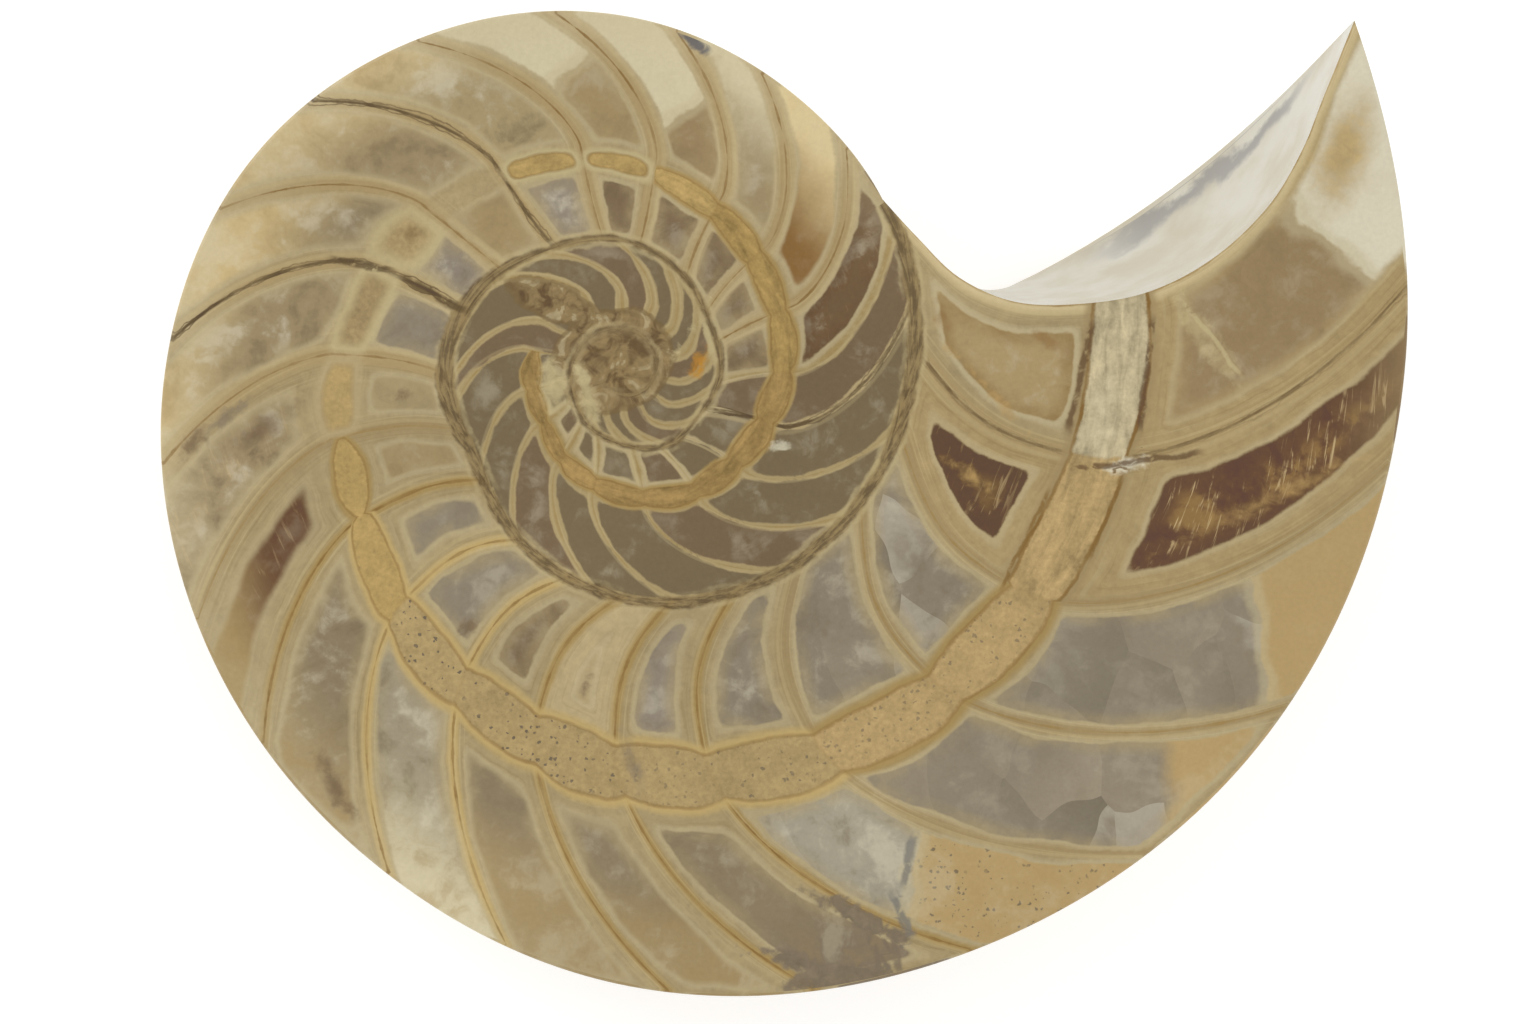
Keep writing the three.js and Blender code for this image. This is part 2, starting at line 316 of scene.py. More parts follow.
# The chambers from the mouth inwards.
CHAMBERS: list[Chamber] = [
    Chamber(
        Septum(728.0, 17.6, 25.5, Seam.LIP),
        Fill(Tint.OLIVE, (1.4, 2.5, 2.8, OPEN), crust=Tint.FAWN, beyond=Tint.WHITE, split=0.86,
             split_slope=-0.2, split_blur=0.35, soft=0.9, facets=0.25, clouds=0.3),
        Fill(Tint.FAWN, (2.5, 2.3, 1.7, 2.5), edge=Tint.BRONZE, clouds=0.5, pale=0.7),
        Bead(0.365, 0.485, 0.1, Tint.CRYSTAL, halo=Tint.TAN, sparkle=1.0, skin=1.0),
    ),
    Chamber(
        Septum(709.5, 16.5, 16.0, Seam.MENDED),
        Fill(Tint.CHESTNUT, (2.6, 2.8, 4.0, OPEN), crust=Tint.FAWN, edge=Tint.UMBER, beyond=Tint.OLIVE,
             split=0.97, split_blur=9.0, soft=0.4, streaks=1.0, clouds=0.0),
        Fill(Tint.UMBER, (2.6, 2.5, 2.8, 3.0), crust=Tint.FAWN, edge=Tint.UMBER, streaks=0.5, clouds=0.0),
        Bead(0.35, 0.475, 0.15, Tint.SAND, halo=Tint.TAN, sparkle=0.8, skin=0.9),
    ),
    Chamber(
        Septum(691.0, 22.0, 18.0),
        Fill(Tint.SMOKE, (1.6, 0.9, 1.4, OPEN), beyond=Tint.SAND, split=0.88, split_slope=-0.2,
             facets=1.0, clouds=0.2),
        Fill(Tint.SMOKE, (1.1, 1.1, 1.2, 0.9), facets=0.9, clouds=0.6),
        Bead(0.36, 0.49, 0.32, Tint.SAND, specks=0.6),
    ),
    Chamber(
        Septum(675.0, 18.0, 17.0),
        Fill(Tint.SMOKE, (1.0, 0.8, 1.2, 0.8), beyond=Tint.SAND, split=0.93, split_slope=-0.2,
             split_blur=1.5, facets=1.0, clouds=0.25),
        Fill(Tint.SMOKE, (1.1, 1.1, 1.2, 0.9), facets=0.9, clouds=0.6),
        Bead(0.375, 0.51, 0.32, Tint.SAND, specks=0.6),
    ),
    Chamber(
        Septum(657.3, 20.0, 16.0, Seam.FAINT),
        Fill(Tint.PEARL, (1.3, 1.0, 1.4, OPEN), beyond=Tint.SAND, split=0.78, split_slope=-0.22,
             clouds=0.9, facets=0.3, specks=0.9),
        Fill(Tint.SMOKE, (1.8, 1.6, 1.5, 1.4), clouds=0.7, facets=0.3),
        Bead(0.37, 0.52, 0.3, Tint.GRIT, Tint.STRAW, specks=0.7),
    ),
    Chamber(
        Septum(641.8, 19.0, 15.0, Seam.OCHRE),
        Fill(Tint.ASH, (1.8, 1.4, 2.2, 1.0), beyond=Tint.SLATE, split=0.85, split_blur=6.0),
        Fill(Tint.LAVENDER, (2.1, 1.8, 1.4, 2.2), clouds=0.6),
        Bead(0.375, 0.53, 0.26, Tint.GRIT, Tint.STRAW, specks=0.5),
    ),
    Chamber(
        Septum(628.5, 18.5, 13.0, Seam.OCHRE),
        Fill(Tint.ASH, (2.4, 1.4, 2.4, 0.6), beyond=Tint.TAN, split=0.8, split_blur=8.0, soft=0.7),
        Fill(Tint.TAN, (2.4, 2.4, 2.2, 3.4), crust=Tint.CREAM, soft=0.6),
        Bead(0.37, 0.54, 0.24, Tint.GRIT, Tint.STRAW, specks=0.9),
    ),
    Chamber(
        Septum(616.0, 18.0, 13.5, Seam.OCHRE),
        Fill(Tint.ASH, (2.1, 1.3, 2.0, 0.2), beyond=Tint.TAN, split=0.75, split_blur=9.0, soft=0.8),
        Fill(Tint.DUSK, (1.7, 1.5, 1.5, 1.9)),
        Bead(0.37, 0.52, 0.26, Tint.GRIT, Tint.STRAW, specks=1.0),
    ),
    Chamber(
        Septum(602.3, 16.0, 13.0, Seam.STRAW),
        Fill(Tint.HAZE, (0.9, 1.0, 1.1, OPEN), beyond=Tint.MILK, split=0.86, split_blur=12.0, soft=0.5,
             clouds=0.9),
        Fill(Tint.SMOKE, (1.0, 1.0, 1.2, 1.0), clouds=0.5),
        Bead(0.37, 0.51, 0.32, Tint.GRIT, Tint.STRAW, specks=1.0),
    ),
    Chamber(
        Septum(586.3, 18.5, 12.5, Seam.STRAW),
        Fill(Tint.ASH, (1.8, 1.8, 1.8, 0.2), beyond=Tint.TAN, split=0.85, split_blur=9.0, soft=0.7,
             clouds=0.8),
        Fill(Tint.SMOKE, (1.9, 1.9, 2.0, 1.9), soft=0.4),
        Bead(0.365, 0.48, 0.4, Tint.HONEY, Tint.STRAW, specks=0.2),
    ),
    Chamber(
        Septum(569.3, 16.5, 9.5, Seam.OCHRE),
        Fill(Tint.RUST, (2.6, 2.6, 3.4, OPEN), edge=Tint.RUST, beyond=Tint.BRASS, split=0.83,
             split_blur=7.0, soft=0.9, pale=0.2, clouds=0.2, streaks=0.3),
        Fill(Tint.TAN, (1.9, 1.9, 2.0, 2.0), soft=0.5),
        Bead(0.345, 0.445, 0.9, Tint.HONEY),
    ),
    Chamber(
        Septum(553.2, 17.0, 7.5),
        Fill(Tint.DOVE, (1.8, 2.4, 3.0, OPEN), soft=1.2, clouds=1.0, streaks=0.4),
        Fill(Tint.BEIGE, (1.6, 1.6, 1.6, 1.6), soft=0.4),
        Bead(0.34, 0.45, 0.4, Tint.HONEY, Tint.CREAM, fade=0.25, skin=0.2, blur=0.8, gap=0.7),
    ),
    Chamber(
        Septum(536.8, 14.5, 5.0, Seam.BROAD),
        Fill(Tint.DOVE, (1.4, 1.5, 1.5, OPEN), beyond=Tint.GOLD, split=0.9, split_blur=10.0, soft=0.8,
             clouds=0.9),
        Fill(Tint.SMOKE, (1.1, 1.1, 1.0, 0.9), clouds=0.6),
        Bead(0.31, 0.4, 0.3, Tint.TAN, Tint.IVORY, skin=0.0, blur=1.2, gap=0.9),
    ),
    Chamber(
        Septum(517.3, 18.5, 2.5, Seam.CRACK),
        Fill(Tint.ASH, (1.5, 1.0, 1.5, OPEN), beyond=Tint.GOLD, split=0.68, split_blur=11.0, soft=1.0,
             clouds=0.8),
        Fill(Tint.LAVENDER, (1.0, 1.0, 0.9, 0.9), clouds=1.0, facets=1.0),
        Bead(0.28, 0.43, 0.3, Tint.FAWN, Tint.IVORY, skin=0.0, blur=1.6, gap=1.5),
    ),
    Chamber(
        Septum(500.6, 17.5, 0.0, Seam.BROAD),
        Fill(Tint.DOVE, (1.3, 1.2, 1.2, OPEN), beyond=Tint.GOLD, split=0.85, split_blur=10.0, soft=0.9,
             clouds=0.8),
        Fill(Tint.TAN, (0.9, 0.9, 0.8, 0.9), soft=0.8),
        Bead(0.31, 0.39, 0.6, Tint.CREAM, Tint.TAN, fade=0.7, skin=0.0, blur=1.6),
    ),
    Chamber(
        Septum(482.1, 17.0, -3.0, Seam.CRACK),
        Fill(Tint.BEIGE, (1.2, 1.2, 1.2, OPEN), beyond=Tint.GOLD, split=0.9, split_blur=8.0, soft=0.6,
             clouds=1.0),
        Fill(Tint.LAVENDER, (1.2, 1.1, 1.2, 0.9), clouds=1.0, facets=1.0),
        Bead(0.325, 0.4, 0.6, Tint.HONEY, Tint.IVORY, sparkle=0.5, gap=0.8),
    ),
    Chamber(
        Septum(461.0, 21.0, -2.0, Seam.BROAD),
        Fill(Tint.TAN, (1.3, 1.2, 1.1, OPEN), beyond=Tint.MILK, split=0.74, split_slope=-0.28,
             split_blur=0.35, soft=0.4),
        Fill(Tint.DUSK, (1.2, 1.3, 1.0, 0.9)),
        Bead(0.31, 0.39, 0.6, Tint.HONEY, Tint.IVORY, sparkle=0.5, gap=0.5),
    ),
    Chamber(
        Septum(441.3, 19.5, 1.7, Seam.BROAD),
        Fill(Tint.OLIVE, (1.2, 1.1, 1.1, OPEN), beyond=Tint.MILK, split=0.66, split_slope=-0.34,
             split_blur=0.35, soft=0.4),
        Fill(Tint.DUSK, (0.8, 0.8, 0.6, 0.7)),
        Bead(0.28, 0.39, 0.4, Tint.HONEY, sparkle=0.9),
    ),
    Chamber(
        Septum(420.6, 20.5, -4.6, Seam.BROAD),
        Fill(Tint.DOVE, (1.2, 1.1, 1.0, OPEN), beyond=Tint.MILK, split=0.8, split_blur=10.0, soft=0.5,
             clouds=0.5),
        Fill(Tint.DUSK, (0.7, 0.7, 0.5, 0.6)),
        Bead(0.28, 0.4, 0.35, Tint.OCHRE, sparkle=1.0),
    ),
    Chamber(
        Septum(401.0, 24.0, -6.0, Seam.BROAD),
        Fill(Tint.RUSSET, (1.1, 1.1, 0.8, OPEN), edge=Tint.RUSSET, beyond=Tint.BUTTER, split=0.76,
             split_blur=9.0, soft=0.5, clouds=0.2),
        Fill(Tint.DUSK, (0.6, 0.6, 0.5, 0.6)),
        Bead(0.27, 0.4, 0.35, Tint.OCHRE, sparkle=1.0),
    ),
    Chamber(
        Septum(380.8, 24.0, -4.0, Seam.BROAD),
        Fill(Tint.COCOA, (0.9, 0.9, 0.8, 0.8), edge=Tint.UMBER, clouds=0.7, streaks=0.2),
        Fill(Tint.DUSK, (0.6, 0.6, 0.5, 0.6)),
        Bead(0.27, 0.4, 0.4, Tint.OCHRE, sparkle=1.0),
    ),
]


def inner_chambers() -> list[Chamber]:
    """The chambers of the inner turns, which differ only in the place and lean of their septa.

    Returns:
        Chambers from the last one listed above to the start of the coil.
    """
    places = [
        (359.5, 29, -7), (340.3, 33, -5.5), (320, 28, -9), (301, 26, -6), (279, 29, -3), (255.8, 27, -9),
        (235.2, 27, -5), (213, 23, -4), (192, 22, -4), (168, 24, -4), (149, 36, -4), (118, 28, -4),
        (92, 33, -4), (67, 27, -4), (41, 30, -4), (14, 31, -4),
    ]
    spacing = 26
    places += [(places[-1][0] - spacing * i, 30, -4) for i in range(1, 14)]
    made = []
    for i, (angle, ventral, dorsal) in enumerate(places):
        core = Tint.MOSS if i % 3 else Tint.DUSK
        seam = Seam.CRACK if i == 1 else Seam.RIB
        venter = Fill(core, INNER_LINING, crust=Tint.RIB, edge=core, pale=0.3, clouds=0.45)
        dorsum = Fill(core, INNER_LINING, crust=Tint.RIB, edge=core, pale=0.6, clouds=0.45)
        bead = Bead(0.26, 0.4, 0.4, Tint.BRASS, sparkle=1.1)
        if angle < BEADLESS_BELOW:
            bead = Bead(0.33, 0.33, fade=1.0)
            venter = dorsum = replace(venter, lining=(*INNER_LINING[:2], OPEN, INNER_LINING[3]))
        made.append(Chamber(Septum(angle, ventral, dorsal, seam), venter, dorsum, bead))
    return made


@dataclass(frozen=True)
class Patch:
    """An ellipse on the cut face, in millimetres from the coil axis."""

    x: float
    y: float
    half_length: float
    half_width: float
    turn: float  # degrees from +X to its length

    def depth(self, places: Array) -> Array:
        """How deep each place lies in it, in millimetres, below zero outside."""
        along, across = along_and_across(places, self)
        return (1 - np.hypot(along / self.half_length, across / self.half_width)) * self.half_width


@dataclass(frozen=True)
class Mark(Patch):
    """A patch of its own colour."""

    tint: Tint
    blur: float = 0.5  # millimetres
    most: float = 0.85


@dataclass(frozen=True)
class Vein:
    """A thin line of its own colour on the cut face, in millimetres from the coil axis."""

    x: float
    y: float
    half_length: float
    turn: float  # degrees from +X to its length
    tint: Tint
    width: float = 0.3


def along_and_across(places: Array, shape: Patch | Vein) -> tuple[Array, Array]:
    """Places about a shape's middle, turned into its own directions.

    Args:
        places: x and y.
        shape: a patch or vein.
    Returns:
        Distances along its length and across it.
    """
    c, s = math.cos(math.radians(shape.turn)), math.sin(math.radians(shape.turn))
    off = places - (shape.x, shape.y)
    return off @ np.array([c, s]), off @ np.array([-s, c])


MARKS = (
    Mark(7.0, 0.7, 1.1, 0.7, 75, Tint.ORANGE, 0.6),
    Mark(6.2, 30.4, 1.5, 0.6, -50, Tint.INK, 0.5),
    Mark(21.3, -50.0, 5.6, 0.95, -25, Tint.FLINT, 0.4, 0.95),
    Mark(20.2, -55.8, 5.6, 1.5, 8, Tint.FLINT, 0.5, 0.95),
    Mark(15.6, -54.2, 3.6, 0.75, -13, Tint.FLINT, 0.4, 0.95),
    Mark(-33.4, -5.5, 3.4, 0.9, 35, Tint.DUSK, 0.9),
    Mark(-36.3, -4.1, 2.6, 0.6, 38, Tint.SLATE, 0.7),
    Mark(-39.8, -6.9, 2.2, 0.8, 55, Tint.DUSK, 0.8),
    Mark(-26.8, -37.5, 3.4, 0.8, -62, Tint.DUSK, 0.9),
    Mark(-3.6, -29.3, 1.0, 0.45, 60, Tint.DUSK, 0.6),
    Mark(-20.5, -2.3, 0.8, 0.5, 0, Tint.DUSK, 0.6),
    Mark(65.9, 19.8, 5.6, 2.6, 72, Tint.HONEY, 2.4, 0.85),
    Mark(32.2, -10.1, 2.2, 0.6, -35, Tint.AMBER, 0.8),
    Mark(60.5, -11.2, 8.0, 0.7, 26, Tint.AMBER, 1.3),
    Mark(46.3, -8.6, 1.8, 0.5, 12, Tint.WHITE, 0.5),
    Mark(0.9, -36.4, 2.8, 0.7, -72, Tint.SLATE, 1.0),
    Mark(14.5, -6.8, 0.5, 0.4, 0, Tint.WHITE, 0.5, 0.6),
    Mark(-6.3, -1.9, 2.9, 1.3, -78, Tint.IVORY, 0.9, 0.8),
    Mark(-3.3, -2.5, 2.8, 0.75, -76, Tint.IVORY, 0.6, 0.85),
    Mark(5.6, 2.7, 2.4, 0.35, 58, Tint.IVORY, 0.4, 0.7),
    Mark(43.6, -4.4, 3.6, 1.5, 76, Tint.MILK, 2.0, 0.5),
    Mark(53.4, 3.0, 5.0, 1.1, -55, Tint.IVORY, 0.9, 0.55),
    Mark(29.5, 4.7, 1.6, 0.6, -60, Tint.RUSSET, 0.8, 0.6),
    Mark(38.6, 2.9, 1.6, 0.5, -25, Tint.RUSSET, 0.8, 0.6),
    Mark(33.0, -1.3, 3.8, 0.4, -47, Tint.AMBER, 0.6, 0.7),
    Mark(-19.4, 12.5, 0.9, 0.6, 40, Tint.BARK, 0.7, 0.6),
    Mark(-14.5, -23.6, 0.9, 0.6, 40, Tint.DUSK, 0.6),
)

VEINS = (
    Vein(26.1, -45.0, 3.2, 77, Tint.LEAD, 0.6),
    Vein(25.5, -49.9, 2.9, -64, Tint.LEAD, 0.5),
    Vein(23.0, -53.3, 2.8, -77, Tint.FLINT, 0.5),
    Vein(25.0, -53.6, 2.6, -87, Tint.FLINT, 0.6),
    Vein(41.9, -0.6, 5.8, 77, Tint.UMBER, 0.5),
    Vein(47.9, -0.4, 5.8, 83, Tint.UMBER, 0.45),
    Vein(53.8, 3.1, 5.2, -52, Tint.IVORY, 0.3),
    Vein(7.6, 3.1, 2.6, 105, Tint.IVORY, 0.45),
    Vein(-24.0, 9.6, 3.6, -13, Tint.CRACK, 0.5),
    Vein(-17.3, 7.0, 3.9, -28, Tint.CRACK, 0.6),
    Vein(36.8, -15.5, 5.6, 64, Tint.BRONZE),
    Vein(44.2, -13.6, 4.6, 68, Tint.BRONZE),
    Vein(47.0, -8.3, 6.6, 7, Tint.UMBER, 0.4),
)

# Where the innermost turns have broken up.
RUBBLE = (
    Patch(-1.0, 0.9, 5.6, 4.6, 20),
    Patch(-6.6, 6.4, 3.9, 1.6, -20),
)

# The attributes that the material reads: single numbers, colours, and bundles of three numbers.
NUMBERS = ("growth", "pitch", "core", "tube", "wall", "rubble", "line_width", "band_width")
COLOURS = ("line", "band", "fill", "edge", "beyond", "crust", "bead", "halo", "mark_tint", "vein_tint")
BUNDLES = {
    "grain": ("facets", "clouds", "streaks"),
    "trim": ("soft", "pale", "fade"),
    "sand": ("specks", "sparkle", "ring"),
    "split": ("split", "split_blur", "glow"),
    "mark": ("mark", "mark_blur", "mark_most"),
    "vein": ("offset", "way_left", "vein_width"),
    "outline": ("skin", "bead_blur", "crack"),
    "strip": ("along", "out", "across"),  # along the coil, out from the turn below, and across the chamber
}


@dataclass
class Pattern:
    """The chambers as whole arrays, and the fields that they give at any place on the shell."""

    coil: Coil
    mouth: Mouth
    chambers: list[Chamber]
    siphuncle_height: float = 0.42  # where the septa bend
    spiral_slant: float = 0.95  # cosine of the angle between the outer edge and a circle
    closing_gap: float = 30.0  # degrees from the innermost septum to the end of the coil
    corner_sharpness: tuple[float, float] = (3.0, 28.0)  # of a core's corners, in wide and narrow chambers
    ring_share: float = 0.42  # width of the siphuncle's halo, by its half width
    ring_limits: tuple[float, float] = (0.25, 1.0)  # millimetres
    end_bluntness: float = 5.0  # of a closed bead's ends
    neck_power: float = 2.6  # how suddenly a bead narrows towards a septum
    vein_reach: float = 1.0  # millimetres to either side, past which no vein is drawn
    # Width of the fibrous wall on the turn below, in millimetres, by growth angle.
    wall_angles: tuple[float, ...] = (-400, 30, 360, 480, 520, 548, 580, 640, 690, 725, 753)
    wall_widths: tuple[float, ...] = (0.2, 0.2, 0.35, 0.45, 1.2, 1.2, 0.8, 0.7, 0.8, 1.0, 0.75)
    # How pale the stone gets at the outer edge, by growth angle, and the height where that begins.
    glow_angles: tuple[float, ...] = (380, 400, 470, 560, 600, 640)
    glow_most: tuple[float, ...] = (0.0, 0.35, 0.5, 0.4, 0.3, 0.0)
    glow_start: float = 0.7
    glow_power: float = 1.5

    def __post_init__(self) -> None:
        """Lists the chambers and septa by growing angle, and gathers their values."""
        order = self.chambers[::-1]
        first = order[0].front
        septa = [replace(first, angle=first.angle - self.closing_gap)] + [chamber.front for chamber in order]
        self.septa = table(septa)
        self.seams = table([septum.seam.value for septum in septa])
        self.fills = table([fill for chamber in order for fill in (chamber.dorsum, chamber.venter)])
        self.beads = table([chamber.bead for chamber in order])
        self.middles = (self.septa["angle"][1:] + self.septa["angle"][:-1]) / 2
        self.marks = table(MARKS)
        self.veins = table(VEINS)

    def septum_angles(self, height: Array) -> Array:
        """Growth angle of every septum at each height: its own angle plus its lean, as a power curve.

        Args:
            height: heights from 0 to 1.
        Returns:
            An array with a row for each height and a column for each septum.
        """
        septa, bend = self.septa, self.siphuncle_height
        up = np.clip((height - bend) / (1 - bend), 0, None)[:, None]
        down = np.clip(1 - height / bend, 0, None)[:, None]
        forward = septa["ventral_lean"] * up ** septa["ventral_power"]
        back = septa["dorsal_lean"] * down ** septa["dorsal_power"]
        lines = septa["angle"] + forward + back
        lines[:, -1] = self.mouth.angles(self.coil, height)
        return lines

    def fields(self, angle: Array, height: Array, radius: Array, places: Array) -> dict[str, Array]:
        """Everything that the material reads, at each place.

        The share runs from a chamber's back septum to its front one. The pitch is the way between the two,
        square to the septum. The core's depth is a smooth minimum of its distances to the four linings.

        Args:
            angle: growth angles in degrees.
            height: heights from 0 to 1.
            radius: distances from the coil axis in millimetres.
            places: x and y in millimetres.
        Returns:
            Arrays by attribute name: numbers, linear colours, or bundles of three numbers.
        """
        lines = self.septum_angles(height)
        pick = np.arange(len(angle))
        back = np.clip((angle[:, None] >= lines).sum(axis=1) - 1, 0, len(self.chambers) - 1)
        low, high = lines[pick, back], lines[pick, back + 1]
        share = np.clip((angle - low) / (high - low), 0, 1)
        whorl = self.coil.whorl_height(angle)
        rise = 0.01  # the step in height that the septum's slope is read from
        lean = (self.septum_angles(height + rise)[pick, back] - low) / rise
        slant = whorl / np.hypot(whorl, radius * np.radians(lean))
        pitch = np.radians(high - low) * radius * slant
        bead = self.siphuncle(angle, height, back, share, pitch)
        venter = height > bead["middle"]
        fill = {name: values[2 * back + venter] for name, values in self.fills.items()}
        seam = {name: values[back + (share > 0.5)] for name, values in self.seams.items()}
        front_lining, back_lining, tube_lining, wall_lining = fill["lining"].T
        sides = (
            (1 - share) * pitch - front_lining,
            share * pitch - back_lining,
            -bead["tube"] - tube_lining,
            np.where(venter, 1 - height, height) * whorl * self.spiral_slant - wall_lining,
        )
        sharpness = np.clip(self.corner_sharpness[1] / np.maximum(pitch, 1e-9), *self.corner_sharpness)
        rim = np.clip((height - self.glow_start) / (1 - self.glow_start), 0, 1)
        width = np.interp(angle, self.wall_angles, self.wall_widths)
        covered = angle < self.coil.mouth_angle - 360 + self.mouth.root_swing
        to_wall = np.minimum(height, np.where(covered, 1 - height, FAR)) * whorl * self.spiral_slant
        rubble = np.max([stretch.depth(places) for stretch in RUBBLE], axis=0)
        spread = math.log(self.coil.turn_growth) / (2 * math.pi)
        values = fill | seam | bead | self.mark_fields(places) | self.vein_fields(places) | {
            "growth": back + share,
            "pitch": pitch,
            "core": -np.logaddexp.reduce([-side * sharpness for side in sides], axis=0) / sharpness,
            "wall": width - to_wall,
            "rubble": np.clip(rubble, -FAR, None),
            "fill": fill["core"],
            "bead": bead["tint"],
            "bead_blur": bead["blur"],
            "specks": np.where(bead["tube"] > -bead["ring"], bead["specks"], fill["specks"]),
            "split": (height - fill["split"] - fill["split_slope"] * (share - 0.5)) * whorl,
            "glow": np.interp(angle, self.glow_angles, self.glow_most) * rim**self.glow_power,
            "along": self.coil.even_radius(angle) / spread,
            "out": height * whorl,
            "across": share * pitch,
        }
        return {name: values[name] for name in NUMBERS + COLOURS} | {
            name: np.stack([values[part] for part in parts], axis=1) for name, parts in BUNDLES.items()
        }

    def siphuncle(
        self, angle: Array, height: Array, back: Array, share: Array, pitch: Array
    ) -> dict[str, Array]:
        """The siphuncle's looks and depth. It narrows at each septum by the pinch, or is closed short of it.

        Args:
            angle: growth angles.
            height: heights from 0 to 1.
            back: index of the chamber.
            share: place between the chamber's back septum and its front one.
            pitch: the way between the two, in millimetres.
        Returns:
            Arrays by name: the tube is the depth inside it, and the ring its halo's width, in millimetres.
        """
        bead = {name: values[back] for name, values in self.beads.items()}
        low, high = (np.interp(angle, self.middles, self.beads[name]) for name in ("low", "high"))
        whorl = self.coil.whorl_height(angle)
        middle, full = (low + high) / 2, (high - low) / 2 * whorl
        round_end = 1 - np.abs(2 * share - 1) ** self.neck_power
        half = full * (1 - bead["pinch"] + bead["pinch"] * round_end)
        tube = half - np.abs(height - middle) * whorl
        ends = (0.5 - np.abs(share - 0.5)) * pitch - bead["gap"]
        closed = -np.logaddexp(-tube * self.end_bluntness, -ends * self.end_bluntness) / self.end_bluntness
        is_closed = bead["gap"] > 0
        ring = np.clip(self.ring_share * full, *self.ring_limits) * np.where(is_closed, 2, 1)
        return bead | {"middle": middle, "tube": np.where(is_closed, closed, tube), "ring": ring}

    def mark_fields(self, places: Array) -> dict[str, Array]:
        """How deep each place lies in the nearest mark, above zero inside, and that mark's looks.

        Args:
            places: x and y in millimetres.
        Returns:
            Arrays by name.
        """
        depths = np.array([mark.depth(places) for mark in MARKS])
        nearest = (depths / self.marks["blur"][:, None]).argmax(axis=0)
        looks = {"mark_" + name: self.marks[name][nearest] for name in ("tint", "blur", "most")}
        return looks | {"mark": np.clip(depths[nearest, np.arange(len(places))], -FAR, None)}

    def vein_fields(self, places: Array) -> dict[str, Array]:
        """Offset from the nearest vein's line, with its sign, the way left to its end, and its looks.

        Args:
            places: x and y in millimetres.
        Returns:
            Arrays by name, with lengths in millimetres.
        """
        along, offset = np.array([along_and_across(places, vein) for vein in VEINS]).swapaxes(0, 1)
        left = self.veins["half_length"][:, None] - np.abs(along)
        nearest = (np.abs(offset) - np.minimum(left, 0)).argmin(axis=0)
        pick = np.arange(len(places))
        offset, left = offset[nearest, pick], left[nearest, pick]
        looks = {"vein_" + name: self.veins[name][nearest] for name in ("tint", "width")}
        return looks | {"offset": offset, "way_left": np.where(np.abs(offset) > self.vein_reach, -1, left)}


class Finish(Enum):
    """The material slots of the half."""

    FOSSIL = 0
    HOLLOW = 1


